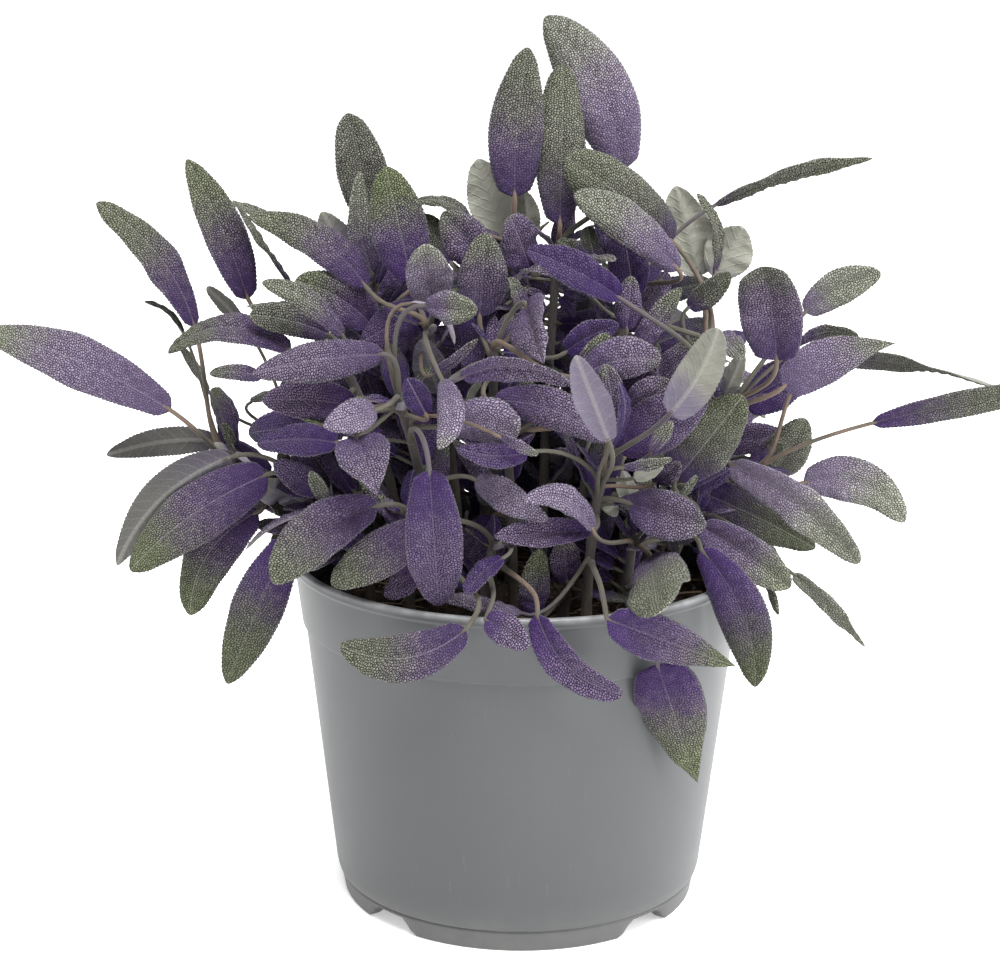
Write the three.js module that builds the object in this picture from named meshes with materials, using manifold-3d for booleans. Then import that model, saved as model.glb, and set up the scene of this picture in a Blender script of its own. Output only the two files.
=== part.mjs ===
import * as THREE from 'three';
import { mergeVertices } from 'three/addons/utils/BufferGeometryUtils.js';
import Module from 'manifold-3d';

const wasm = await Module();
wasm.setup();

// Purple sage in a round grey nursery pot, in millimetres
// It is laid out with the pot standing on z = 0 about the Z axis, +Z up and its front towards -Y
// At the end all of it is moved by a millimetre or so, to bring the middle of its outline to the origin

// Pot
const POT_HEIGHT = 100.4;
const RIM_RADIUS = 65;
const RIM_BAND_HEIGHT = 19;
const BAND_FOOT_RADIUS = 62.2;
const WALL_TOP_RADIUS = 61.3;
const WALL_FOOT_RADIUS = 53;
const WALL = 1.4;
const LIP = 2.2;
const LIP_HEIGHT = 2.6;
const EDGE_ROUND = 0.6;
const CREASE_HEIGHT = 7.5;
const CREASE_STEP = 1.2;
const FLOOR_ROUND = 2.4;
const COMPOST_ROUND = 4.8;
const FOOT_RADIUS = 50.5;
const FOOT_WIDTH = 3.4;
const FLOOR_UNDERSIDE = 5.2;
const FLOOR_TOP = 7;
const FEET = 4;
const NOTCH_HEIGHT = 4.6;
const NOTCH_TOP_HALF = 4.5;
const NOTCH_FOOT_HALF = 10.5;
const NOTCH_INNER_RADIUS = 40;
const NOTCH_OUTER_RADIUS = 57;
const DRAIN_RADIUS = 4;
const DRAIN_CIRCLE = 34;
const DRAIN_SIDES = 10;
const DRILL_LENGTH = 5.4;
const POT_SIDES = 40;

// Compost
const COMPOST_TOP = 88;
const COMPOST_MOUND = 2.5;
const COMPOST_BEVEL = 3;
const COMPOST_LEVEL = 0.8;
const COMPOST_GAP = 0.6;
const COMPOST_SIDES = 24;
const ROOT_DEPTH = 11;
const HOLE_GAP = 0.35;

// Shoots, petioles and blades
const STEM_HALF_FOOT = 1.6;
const STEM_HALF_TOP = 1.3;
const STEM_STEPS = 4;
const STEM_RISES = 0.5;
const STEM_LEANS = 0.75;
const STEM_STRAIGHTENS = 0.1;
const LEAFY_FROM = 0.4;
const LEAFY_TO = 0.99;
const NODES = 15;
const LEAVES_AT_NODE = 2;
const PETIOLE_HALF = 0.7;
const PETIOLE_HALF_AT_BLADE = 0.6;
const PETIOLE_ALONG_STEM = 0.25;
const PETIOLE_ALONG_BLADE = 0.4;
const BLADE_THICKNESS = 0.8;
const BLADE_ENDS = 0.06;
const BLADE_FULLNESS = 0.62;
const BLADE_TAPER = 0.3;
const EDGE_WAVE = 0.05;
const WAVES = 9;
const WAVE_LAG = 2.1;
const CLEARANCE = 0.45;
const MERGE_DISTANCE = 1e-3;
const LARGE_BLADE = 13.5;
const LARGE_BLADE_STEPS = 4;
const SMALL_BLADE_STEPS = 3;
const LONG_PETIOLE = 30;

// The photograph is taken from EYE: a place given as [x, z, depth] is seen at x, z on the upright plane
// through the pot's axis, and lies on that sight line at y = depth
const EYE = new THREE.Vector3(0, -672, 295.9);

// Each shoot of the plant: its name, its tip as seen, and where it comes out of the compost
const SHOOTS = [
  ['left_far', [-82, 126, -2], [-44, 2]],
  ['left_mid', [-60, 130, 8], [-38, 12]],
  ['left_top', [-43.5, 176, 0], [-27, 4]],
  ['left_inner', [-52, 158, -14], [-33, -7]],
  ['left_front', [-34.5, 144, -40], [-24, -24]],
  ['left_low', [-54, 112, -22], [-42, -16]],
  ['front_left', [-32, 111, -44], [-30, -34]],
  ['front_mid', [-8, 101, -42], [-10, -40]],
  ['front_stub', [14.5, 91.5, -30], [12, -29]],
  ['front_right', [32, 103, -38], [29, -33]],
  ['mid_right', [23, 124, -44], [18, -38]],
  ['centre_front', [-4, 132, -44], [-2, -31]],
  ['centre', [-8, 160, -34], [-8, -20]],
  ['centre_left', [-27, 166, -26], [-17, -12]],
  ['top_left', [-14, 178, -10], [-10, -3]],
  ['top_centre', [-3.5, 188, 0], [-3, 6]],
  ['top_right', [9.5, 188, 0], [6, -3]],
  ['upper_right', [30, 176, -12], [16, -10]],
  ['right_inner', [52, 160, -14], [28, -10]],
  ['right_mid', [58.5, 143, -10], [38, -8]],
  ['right_far', [68, 126, -4], [42, 3]],
  ['right_low', [50, 112, -20], [40, -20]],
  ['back_left_low', [-50, 118, 34], [-34, 24]],
  ['back_left', [-32, 150, 38], [-22, 19]],
  ['back_low_left', [-18, 120, 54], [-14, 38]],
  ['back_top', [-8, 168, 24], [-7, 17]],
  ['back_mid', [8, 146, 48], [5, 31]],
  ['back_low_right', [24, 118, 54], [20, 38]],
  ['back_right', [34, 152, 34], [23, 17]],
  ['back_right_low', [54, 120, 32], [36, 22]],
  ['back_centre', [18, 160, 16], [13, 7]],
];

// The leaves that the photograph shows: blade base and blade tip as seen, blade width, and where they apply
// turn (degrees about the midrib, 0 with the upper side to the eye), twist (degrees from base to tip),
// bow (midrib's bulge to the right of the way from base to tip), bulge (towards the eye)
// and over (a point that the petiole arches through)
const LEAVES = [
  // Hanging over the front rim
  [[0.5, 81.5, -54], [-25.5, 86.5, -50], 8, { turn: 66, bow: 1.5 }],
  [[-15.5, 76.5, -72], [-52.5, 71.5, -62], 13.5, { turn: 10, bow: -5.5, over: [-9, 86, -63] }],
  [[-10, 79.5, -72], [2, 70.5, -75], 9, { turn: 15, bow: -1, over: [-7, 87, -62] }],
  [[5, 81, -70], [30, 57.5, -70], 10, { turn: 20, bow: 4.5, over: [5, 88, -62] }],
  [[25, 80, -76], [62.5, 66, -54], 13.5, { turn: 5, over: [23, 91, -63] }],
  [[39.8, 66.5, -61], [52.5, 28, -49], 20, { turn: 5, over: [38, 89, -60] }],
  [[37, 99, -42], [39, 84, -88], 19, { turn: 0 }],
  // Far left
  [[-99, 140.5, -8], [-151, 163, 0], 15.5, { turn: 12, bow: 2.5 }],
  [[-91.5, 164.5, 6], [-118, 198.5, 4], 12, { turn: 35, bow: 4.5 }],
  [[-94.5, 162.5, 12], [-105, 172.3, 12], 4, { turn: 70, bow: 1.5 }],
  [[-76.5, 172.5, 10], [-92, 211, 6], 13.5, { turn: 15, bow: 1 }],
  [[-78, 165.5, 16], [-88, 175.5, 18], 5, { turn: 150, bow: 0.5 }],
  [[-84.5, 131.5, 4], [-117, 127, 6], 8.5, { turn: 150, twist: 40, bow: 2 }],
  [[-88, 146, 8], [-96, 161, 10], 5, { turn: 60 }],
  [[-81.5, 130, 2], [-84, 137, 2], 3.5, { turn: 20 }],
  [[-65, 158, -14], [-101, 158.5, -6], 11, { turn: 35, bow: 6 }],
  [[-73, 150, -16], [-88, 151.5, -14], 5.5, { turn: 30, bow: 1 }],
  [[-76, 143, -8], [-69.5, 146, -14], 4, { turn: 30 }],
  [[-80, 128, 6], [-72, 120.5, -6], 6, { turn: 60 }],
  // Low left, over the rim
  [[-72, 122, -22], [-113, 93, -18], 17.5, { turn: 5, bow: 2.5 }],
  [[-82, 127, -10], [-115.5, 94.5, -6], 13, { turn: 165, bow: 5 }],
  [[-75, 111, -14], [-95.5, 79.5, -12], 15, { turn: 10, bow: 5 }],
  [[-66.5, 103, -40], [-85.5, 58.5, -44], 15.5, { turn: 8, over: [-58, 106, -34] }],
  [[-41, 113, -52], [-70.5, 89.5, -54], 16, { turn: 10, bow: 3.5 }],
  [[-52, 111.5, -42], [-79.5, 100.5, -34], 6, { turn: 72, bow: 3 }],
  [[-27, 107, -54], [-54.5, 89.5, -54], 13, { turn: 5 }],
  [[-30, 95.5, -48], [-39, 86.5, -50], 8, { turn: 20, bow: -1 }],
  [[-57, 117, -18], [-72, 122, -10], 9, { turn: 10 }],
  [[-57, 116.5, -28], [-70, 126, -24], 9, { turn: 20 }],
  [[-55, 114, -34], [-59.5, 123, -36], 5, { turn: 20 }],
  [[-66, 109, -6], [-71.5, 114, -10], 5, { turn: 20 }],
  // Left of the middle
  [[-39, 157, -42], [-75.5, 151, -38], 12, { turn: 8, bow: 1 }],
  [[-47, 142, -34], [-73, 143.5, -30], 12, { turn: 5, bow: 1 }],
  [[-52, 131.5, -46], [-75, 131, -40], 9.5, { turn: 20, bow: 1 }],
  [[-55, 137.5, -24], [-77, 134, -18], 11, { turn: 10 }],
  [[-41, 141, -56], [-55.8, 136, -60], 10, { turn: 15 }],
  [[-46.5, 133, -58], [-41, 116.5, -70], 15, { turn: 5 }],
  [[-27, 140, -50], [-32, 149.8, -54], 7.5, { turn: 20 }],
  [[-50, 162, -20], [-72.5, 177, -24], 8, { turn: 40, bow: 3 }],
  [[-42, 165, -8], [-63, 177.5, -12], 14, { turn: 10, bow: 2 }],
  [[-60, 170, 4], [-77, 170.5, 2], 5, { turn: 75, bow: 0.5 }],
  [[-54, 162.5, -4], [-76, 168, -8], 9.5, { turn: 20, bow: 1 }],
  // Upper left
  [[-43.5, 176, -8], [-76, 195.5, -2], 12, { turn: 20, bow: 4.5 }],
  [[-64, 176, 10], [-80, 200, 12], 7, { turn: 80 }],
  [[-66, 193, 6], [-81, 200.5, 10], 6, { turn: 60 }],
  [[-40, 190, 12], [-48.5, 224, 10], 14.5, { turn: 8 }],
  [[-42, 180, 2], [-44.5, 208, 4], 9, { turn: 25, bow: -2 }],
  [[-46, 177.5, 14], [-55.5, 197, 16], 10.5, { turn: 170 }],
  [[-31, 178, -14], [-38, 209.5, -10], 16.5, { turn: 5 }],
  [[-25, 170.5, -30], [-27, 188.5, -42], 13, { turn: 0 }],
  [[-31, 171.5, -38], [-18.5, 160, -46], 7, { turn: 60, bow: -3.5 }],
  [[-27, 170, -26], [-45.5, 160.5, -26], 13, { turn: 10 }],
  [[-27, 171, -40], [-12.5, 170, -46], 9.5, { turn: 10 }],
  [[-14, 194, -8], [-30, 199.5, -10], 7, { turn: 60, bow: 3 }],
  [[-9, 181, -18], [-22, 197, -20], 13, { turn: 15 }],
  [[-20, 183, -4], [-27.5, 196.5, -4], 9, { turn: 10 }],
  // Top
  [[-2.5, 201.5, -4], [0.8, 242, -2], 16, { turn: 4, bow: -1 }],
  [[-4, 189, 10], [-12.5, 212, 8], 13, { turn: 178, bow: -1 }],
  [[1, 188, 14], [0, 203.5, 12], 9, { turn: 178 }],
  [[10, 194, -6], [10.5, 238, 2], 14.5, { turn: 8 }],
  [[27, 209.5, 6], [5.3, 250.3, 10], 20, { turn: 8, bow: 4 }],
  [[41, 189.5, -4], [11, 212.5, -8], 18, { turn: 15, bow: 1 }],
  [[43, 181.5, -24], [14.5, 202.5, -30], 12, { turn: 40, bow: 2.5 }],
  [[2, 181, -16], [-3, 195.5, -26], 13, { turn: 10 }],
  [[18, 183.5, -10], [9.5, 189.5, -12], 7, { turn: 30 }],
  [[20, 183, -4], [17.5, 193.5, -2], 7.5, { turn: 20 }],
  [[30, 182, -14], [20, 199, -16], 10, { turn: 20 }],
  [[31, 174, -20], [27, 195, -16], 12, { turn: 10 }],
  // Upper right
  [[52.5, 199.5, 6], [95.5, 211, 10], 8.5, { turn: 62, bow: -3 }],
  [[49, 180, 14], [41.5, 205, 12], 15, { turn: 178 }],
  [[53, 179.5, 10], [60.5, 194, 8], 15, { turn: 178 }],
  [[53, 181, 0], [48, 203, -4], 6, { turn: 65, bow: 3 }],
  [[46, 171, -14], [57.5, 180.5, -14], 8, { turn: 20 }],
  [[32, 159, -28], [44, 176.5, -26], 8, { turn: 30 }],
  [[71, 156.5, -24], [66, 183, -30], 17, { turn: 0, bow: 0.7 }],
  [[78.5, 170, 0], [99, 181, 2], 11, { turn: 20, bow: -2 }],
  [[73, 148.5, -14], [104, 161.5, -10], 14, { turn: 15, bow: -2.5 }],
  [[76, 160, 0], [93.5, 162.8, 2], 6, { turn: 60, bow: -3 }],
  [[85.5, 156.5, 0], [134.5, 147, 2], 8.5, { turn: 30, twist: 90, bow: -3 }],
  [[62, 144, -4], [86.5, 159, 4], 15, { turn: 20 }],
  // Low right
  [[98.5, 138.5, -6], [152, 148.6, -6], 9, { turn: 25, bow: -1 }],
  [[72, 124, 8], [80, 139.5, 10], 14, { turn: 15 }],
  [[59, 126.5, -20], [96.5, 97, -16], 13, { turn: 30, bow: -3 }],
  [[48, 119, -12], [84.5, 101, -4], 14, { turn: 10, bow: -1 }],
  [[80, 121, -2], [109, 109.5, 0], 13.5, { turn: 12, bow: -6 }],
  [[51.5, 101, -34], [68.5, 58.5, -30], 14.5, { turn: 8, bow: -4, over: [50, 106, -30] }],
  [[51, 108, -28], [77.5, 89, -26], 13, { turn: 12, bow: -1 }],
  [[70, 93, -22], [73.5, 81.5, -24], 4, { turn: 60 }],
  [[78, 94, -16], [99.5, 72.5, -18], 6.5, { turn: 20, twist: 60, bow: -1 }],
  // Right of the middle
  [[41.5, 140.5, -58], [54.5, 165.5, -62], 12, { turn: 175, bow: 1.5 }],
  [[27, 130, -44], [52, 146, -50], 16, { turn: 5 }],
  [[44, 122, -30], [62, 145.5, -36], 17.5, { turn: 5 }],
  [[29, 141, -44], [42.5, 149.5, -46], 11, { turn: 10 }],
  [[57, 146, -30], [62, 158.5, -34], 6.5, { turn: 170 }],
  [[36.5, 129.5, -54], [42.3, 138.7, -60], 4.5, { turn: 20 }],
  [[29, 125, -50], [42.5, 127, -54], 4.5, { turn: 45 }],
  [[32, 122, -52], [40.5, 125.7, -58], 4.5, { turn: 175 }],
  [[38, 120.5, -40], [44.8, 126.5, -46], 6, { turn: 20 }],
  [[45, 116, -42], [49.8, 122.7, -46], 4, { turn: 60 }],
  [[47, 118, -24], [59, 124.5, -28], 8, { turn: 20 }],
  [[19, 152.5, -52], [38.5, 155.5, -54], 12, { turn: 10, bow: -2 }],
  [[12, 158, -42], [27, 165.7, -40], 9, { turn: 20, bow: -1 }],
  [[17, 149.5, -48], [24, 163.5, -46], 9, { turn: 15 }],
  [[29, 164.5, -34], [30, 179.8, -34], 7.5, { turn: 15 }],
  // Middle
  [[1, 171, -44], [5.5, 155, -66], 16, { turn: 0 }],
  [[0, 170.5, -36], [-3.5, 179, -40], 6.5, { turn: 30, twist: 60 }],
  [[20, 173, -20], [-1, 180.5, -14], 6, { turn: 72, bow: 3 }],
  [[27, 173.5, -28], [1, 186.5, -24], 10.5, { turn: 20, bow: 1 }],
  [[-12, 168, -30], [-10.5, 191, -34], 14, { turn: 8 }],
  [[-13.5, 170, -38], [-14.5, 152.5, -50], 11, { turn: 10 }],
  [[-25, 151.5, -46], [-12.5, 160.5, -54], 4, { turn: 65 }],
  [[-22.5, 150, -60], [-23.5, 129.8, -70], 8, { turn: 10, bow: -2.5 }],
  [[-20, 137, -48], [-1.5, 134, -54], 13, { turn: 10, bow: -2 }],
  [[-6, 133.5, -58], [4.3, 128, -62], 4, { turn: 40 }],
  [[1.5, 129, -50], [-18, 130.5, -56], 7.5, { turn: 20, bow: -1.5 }],
  [[-17, 150.5, -52], [13, 148, -62], 8.5, { turn: 35, bow: -4 }],
  [[-8, 144, -50], [23.5, 132.3, -62], 11.5, { turn: 15, bow: -3 }],
  [[24.5, 133, -52], [15, 157.3, -66], 9.5, { turn: 172 }],
  [[25, 136, -46], [23, 154.5, -50], 7.5, { turn: 15, bow: 1 }],
  [[25.5, 131, -42], [28, 149.5, -44], 6, { turn: 70, bow: 2 }],
  // Front, above the rim
  [[-26, 123.5, -62], [-23.5, 84.5, -54], 16, { turn: 0, bulge: 4 }],
  [[-8, 110, -44], [-18.5, 92, -46], 13, { turn: 15 }],
  [[-5, 98, -44], [-15.5, 87, -50], 6.5, { turn: 30, bow: 1 }],
  [[4, 80.5, -54], [5, 101, -60], 10.5, { turn: 5 }],
  [[13.5, 91, -40], [12, 104, -44], 9.5, { turn: 10 }],
  [[20, 106.5, -40], [-7.5, 104, -46], 9, { turn: 15 }],
  [[20.5, 106.5, -50], [1, 115, -58], 8, { turn: 35, bow: 4.5 }],
  [[-13, 121, -48], [7, 109, -58], 9.5, { turn: 15 }],
  [[19.5, 125, -40], [27, 110, -54], 6.5, { turn: 170 }],
  [[28.5, 124, -40], [32, 110.5, -54], 6.5, { turn: 170 }],
  [[31, 114.5, -44], [52.5, 108, -52], 14, { turn: 10 }],
  [[39, 103, -44], [31, 107.5, -52], 7, { turn: 20 }],
];

// No light shows through the heart of the plant: where a sight line through it meets nothing, a leaf that
// is drawn by lot grows across that line. The heart is an oval on the upright plane through the pot's axis
const HEART_X = -3;
const HEART_Z = 130;
const HEART_HALF_WIDTH = 70;
const HEART_HALF_HEIGHT = 58;
const HEART_STEP = 4;
const HEART_TRIES = 40;
const SEED_PER_LINE = 15485863;
const HEART_DEPTH = [-10, 66];
const HEART_CLIMB = [0, 1.45];
const HEART_LENGTH = [24, 38];
const HEART_WIDTH_PER_LENGTH = [0.32, 0.4];

// Leaves that the photograph doesn't show, on the back and inside: how many on each shoot
const UNSEEN_LEAVES = {
  left_mid: 2,
  left_top: 2,
  left_inner: 1,
  top_left: 1,
  top_centre: 2,
  top_right: 2,
  upper_right: 2,
  right_inner: 1,
  right_mid: 1,
  right_far: 2,
  back_left_low: 5,
  back_left: 4,
  back_low_left: 5,
  back_top: 5,
  back_mid: 5,
  back_low_right: 4,
  back_right: 5,
  back_right_low: 5,
  back_centre: 4,
};
const UNSEEN_TRIES = 24;
const SEED_PER_SHOOT = 7919;
const SEED_PER_LEAF = 104729;
const SEED_PER_TRY = 1299709;

// What is drawn by lot for each of them, from the first value to the second
const NODE_HEIGHT = [0.5, 1];
const BEARING_SWING = [-2.2, 2.2];
const CLIMB = [-0.25, 1.25];
const STALK_CLIMB = 0.35;
const STALK_LENGTH = [10, 26];
const BLADE_DROOP = 0.2;
const BLADE_LENGTH = [26, 46];
const BLADE_LEAN = [-0.3, 0.6];
const WIDTH_PER_LENGTH = [0.3, 0.38];
const TURN = [-25, 25];
const BOW = [-2, 2];
const BULGE = 3;

// They stay within the outline that the photograph shows, and reach as far back as the leaves in front do
const DOME_HALF_WIDTH = 80;
const DOME_HEIGHT = 96;
const DOME_FOOT = 100;
const BACK_REACH = 88;

const DEPTH_STEP = 3;
const DEPTH_STEPS = 12;
const NEAREST_SHOOTS = 4;

const greyPlastic = new THREE.MeshStandardMaterial({ color: 0x7f8385, roughness: 0.5, metalness: 0 });
const darkCompost = new THREE.MeshStandardMaterial({ color: 0x2b211a, roughness: 0.95, metalness: 0 });
const sageLeaf = new THREE.MeshStandardMaterial({ color: 0x62566f, roughness: 0.8, metalness: 0 });

function toSolid(geometry) {
  const bare = geometry.clone();
  bare.deleteAttribute('normal');
  bare.deleteAttribute('uv');
  const merged = mergeVertices(bare, MERGE_DISTANCE);
  return new wasm.Manifold(new wasm.Mesh({
    numProp: 3,
    vertProperties: new Float32Array(merged.attributes.position.array),
    triVerts: new Uint32Array(merged.index.array),
  }));
}

function toGeometry(solid) {
  const mesh = solid.getMesh();
  const geometry = new THREE.BufferGeometry();
  geometry.setAttribute('position', new THREE.BufferAttribute(mesh.vertProperties, 3));
  geometry.setIndex(new THREE.BufferAttribute(mesh.triVerts, 1));
  geometry.computeVertexNormals();
  return geometry;
}

function namedMesh(name, geometry, material) {
  const mesh = new THREE.Mesh(geometry, material);
  mesh.name = name;
  return mesh;
}

// A profile of [radius, height] pairs turned about the Z axis
function turned(profile, sides) {
  const points = profile.map(([radius, height]) => new THREE.Vector2(radius, height));
  return new THREE.LatheGeometry(points, sides).rotateX(Math.PI / 2);
}

// Pot
function potProfile() {
  const bandFoot = POT_HEIGHT - RIM_BAND_HEIGHT;
  return [
    [0, FLOOR_UNDERSIDE],
    [FOOT_RADIUS - FOOT_WIDTH - EDGE_ROUND, FLOOR_UNDERSIDE],
    [FOOT_RADIUS - FOOT_WIDTH, 0],
    [FOOT_RADIUS, 0],
    [WALL_FOOT_RADIUS - CREASE_STEP, CREASE_HEIGHT - CREASE_STEP],
    [WALL_FOOT_RADIUS, CREASE_HEIGHT + EDGE_ROUND],
    [WALL_TOP_RADIUS, bandFoot - EDGE_ROUND],
    [BAND_FOOT_RADIUS, bandFoot],
    [RIM_RADIUS - EDGE_ROUND, POT_HEIGHT - LIP_HEIGHT],
    [RIM_RADIUS, POT_HEIGHT - LIP_HEIGHT + EDGE_ROUND],
    [RIM_RADIUS - EDGE_ROUND, POT_HEIGHT],
    [RIM_RADIUS - LIP, POT_HEIGHT],
    [BAND_FOOT_RADIUS - WALL, bandFoot],
    [WALL_TOP_RADIUS - WALL, bandFoot - WALL],
    [WALL_FOOT_RADIUS - WALL, FLOOR_TOP + FLOOR_ROUND],
    [WALL_FOOT_RADIUS - WALL - FLOOR_ROUND, FLOOR_TOP],
    [0, FLOOR_TOP],
  ];
}

function footNotch() {
  const outline = new THREE.Shape([
    new THREE.Vector2(-NOTCH_FOOT_HALF, -1),
    new THREE.Vector2(NOTCH_FOOT_HALF, -1),
    new THREE.Vector2(NOTCH_TOP_HALF, NOTCH_HEIGHT),
    new THREE.Vector2(-NOTCH_TOP_HALF, NOTCH_HEIGHT),
  ]);
  const depth = NOTCH_OUTER_RADIUS - NOTCH_INNER_RADIUS;
  const notch = new THREE.ExtrudeGeometry(outline, { depth, bevelEnabled: false });
  return notch.translate(0, 0, NOTCH_INNER_RADIUS).rotateX(Math.PI / 2);
}

function drainHole() {
  return new THREE.CylinderGeometry(DRAIN_RADIUS, DRAIN_RADIUS, DRILL_LENGTH, DRAIN_SIDES)
    .rotateX(Math.PI / 2)
    .translate(0, -DRAIN_CIRCLE, (FLOOR_UNDERSIDE + FLOOR_TOP) / 2);
}

function potSolid() {
  let pot = toSolid(turned(potProfile(), POT_SIDES));
  for (let i = 0; i < FEET; i += 1) {
    const between = ((i + 0.5) * 2 * Math.PI) / FEET;
    pot = pot.subtract(toSolid(footNotch().rotateZ(between)));
    pot = pot.subtract(toSolid(drainHole().rotateZ(between)));
  }
  return pot;
}

// Compost
function wallInside(height) {
  const share = (height - CREASE_HEIGHT) / (POT_HEIGHT - RIM_BAND_HEIGHT - CREASE_HEIGHT);
  return THREE.MathUtils.lerp(WALL_FOOT_RADIUS, WALL_TOP_RADIUS, Math.min(share, 1)) - WALL;
}

function compostProfile() {
  const low = FLOOR_TOP + COMPOST_ROUND;
  const shoulder = COMPOST_TOP - COMPOST_BEVEL;
  const topRadius = wallInside(shoulder) - COMPOST_GAP;
  return [
    [0, FLOOR_TOP + COMPOST_GAP],
    [wallInside(FLOOR_TOP) - FLOOR_ROUND - COMPOST_GAP, FLOOR_TOP + COMPOST_GAP],
    [wallInside(low) - COMPOST_GAP, low],
    [topRadius, shoulder],
    [topRadius * COMPOST_LEVEL, COMPOST_TOP],
    [0, COMPOST_TOP + COMPOST_MOUND],
  ];
}

function rootHole([x, y]) {
  const side = 2 * (STEM_HALF_FOOT + HOLE_GAP);
  const depth = ROOT_DEPTH + HOLE_GAP;
  return new THREE.BoxGeometry(side, side, 2 * depth).translate(x, y, COMPOST_TOP);
}

function compostSolid() {
  let compost = toSolid(turned(compostProfile(), COMPOST_SIDES));
  for (const [, , root] of SHOOTS) {
    compost = compost.subtract(toSolid(rootHole(root)));
  }
  return compost;
}

// Places and curves
function seen([x, z, depth]) {
  return new THREE.Vector3(x, 0, z).lerp(EYE, depth / EYE.y);
}

function stemCurve([, tip, [x, y]]) {
  const end = seen(tip);
  const foot = new THREE.Vector3(x, y, COMPOST_TOP + COMPOST_MOUND + HOLE_GAP);
  const rise = end.z - foot.z;
  const low = foot.clone().add(new THREE.Vector3(0, 0, STEM_RISES * rise));
  const high = foot.clone().lerp(end, STEM_LEANS).add(new THREE.Vector3(0, 0, STEM_STRAIGHTENS * rise));
  return new THREE.CubicBezierCurve3(foot, low, high, end);
}

// The straight pieces between the points of a stem
function spineOf(points) {
  const spine = new THREE.CurvePath();
  for (let i = 0; i < points.length - 1; i += 1) {
    spine.add(new THREE.LineCurve3(points[i], points[i + 1]));
  }
  return spine;
}

// A closed body through stations of { at, across, up, width, thick }, four corners at each
function swept(stations) {
  const corners = [[-1, 1], [1, 1], [1, -1], [-1, -1]];
  const positions = [];
  for (const { at, across, up, width, thick, lift = [0, 0] } of stations) {
    for (const [side, face] of corners) {
      const corner = at.clone()
        .addScaledVector(across, side * width)
        .addScaledVector(up, face * thick + lift[side < 0 ? 0 : 1]);
      positions.push(corner.x, corner.y, corner.z);
    }
  }
  const last = 4 * (stations.length - 1);
  const index = [0, 2, 1, 0, 3, 2, last, last + 1, last + 2, last, last + 2, last + 3];
  for (let i = 0; i < last; i += 4) {
    for (let k = 0; k < 4; k += 1) {
      const a = i + k;
      const b = i + ((k + 1) % 4);
      const [c, d] = [b + 4, a + 4];
      // The under face is split along the same diagonal as the upper face
      index.push(...(k === 2 ? [a, b, d, b, c, d] : [a, b, c, a, c, d]));
    }
  }
  const geometry = new THREE.BufferGeometry();
  geometry.setAttribute('position', new THREE.Float32BufferAttribute(positions, 3));
  geometry.setIndex(index);
  return geometry;
}

// The way along at each point of a run of straight pieces, halfway between the pieces that meet there
function waysAlong(points) {
  const pieces = points.slice(1).map((point, i) => point.clone().sub(points[i]).normalize());
  const last = pieces.length - 1;
  return points.map((_, i) => {
    const before = pieces[Math.max(i - 1, 0)];
    const after = pieces[Math.min(i, last)];
    return before.clone().add(after).normalize();
  });
}

// Directions across and up at each point, set at one of them and carried on from it without twisting
function stationsAlong(points, anchor, facing, turn = 0) {
  const ways = waysAlong(points);
  const ups = [];
  const way = ways[anchor];
  const square = facing.clone().addScaledVector(way, -facing.dot(way)).normalize();
  ups[anchor] = square.applyAxisAngle(way, THREE.MathUtils.degToRad(turn));
  const carry = (from, to) => {
    const swing = new THREE.Quaternion().setFromUnitVectors(ways[from], ways[to]);
    ups[to] = ups[from].clone().applyQuaternion(swing);
  };
  for (let i = anchor + 1; i < points.length; i += 1) {
    carry(i - 1, i);
  }
  for (let i = anchor - 1; i >= 0; i -= 1) {
    carry(i + 1, i);
  }
  return points.map((at, i) => ({ at, up: ups[i], across: ways[i].clone().cross(ups[i]) }));
}

// The half width of a blade along its midrib, as a share of its widest: an oval that narrows to its tip
function spread(t) {
  const oval = Math.sin(Math.PI * THREE.MathUtils.lerp(BLADE_ENDS, 1 - BLADE_ENDS, t)) ** BLADE_FULLNESS;
  return oval * (1 - BLADE_TAPER * t ** 3);
}

function stemStations(spinePoints) {
  const root = spinePoints[0].clone().setZ(COMPOST_TOP - ROOT_DEPTH);
  const stations = stationsAlong([root, ...spinePoints], 0, new THREE.Vector3(0, -1, 0));
  return stations.map((station, i) => {
    const half = THREE.MathUtils.lerp(STEM_HALF_FOOT, STEM_HALF_TOP, i / STEM_STEPS);
    return { ...station, width: half, thick: half };
  });
}

// Leaves
function bladeCurve({ base, tip, facing, bow = 0, bulge = 0 }) {
  const along = tip.clone().sub(base).normalize();
  const towards = facing.clone().addScaledVector(along, -facing.dot(along)).normalize();
  const across = along.clone().cross(towards);
  const half = base.clone().lerp(tip, 0.5);
  const bend = half.clone().addScaledVector(across, 2 * bow).addScaledVector(towards, 2 * bulge);
  return new THREE.QuadraticBezierCurve3(base, bend, tip);
}

// The petiole leaves the shoot along it and runs straight into the blade, or arches through over
function petioleCurve(node, leaf, blade) {
  const length = node.at.distanceTo(leaf.base);
  const low = node.at.clone().addScaledVector(node.along, PETIOLE_ALONG_STEM * length);
  const high = leaf.base.clone().addScaledVector(blade.getTangent(0), -PETIOLE_ALONG_BLADE * length);
  if (leaf.over) {
    low.copy(leaf.over);
    high.copy(leaf.over);
  }
  return new THREE.CubicBezierCurve3(node.at, low, high, leaf.base);
}

// The nodes of a shoot, each of which bears a pair of leaves
function nodesOf(spine) {
  return Array.from({ length: NODES }, (_, i) => {
    const t = THREE.MathUtils.lerp(LEAFY_FROM, LEAFY_TO, i / (NODES - 1));
    return { at: spine.getPoint(t), along: spine.getTangent(t), leaves: 0 };
  });
}

function nearestNode(shoot, place) {
  const free = shoot.nodes.filter((node) => node.leaves < LEAVES_AT_NODE);
  free.sort((a, b) => a.at.distanceTo(place) - b.at.distanceTo(place));
  return free[0];
}

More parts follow.
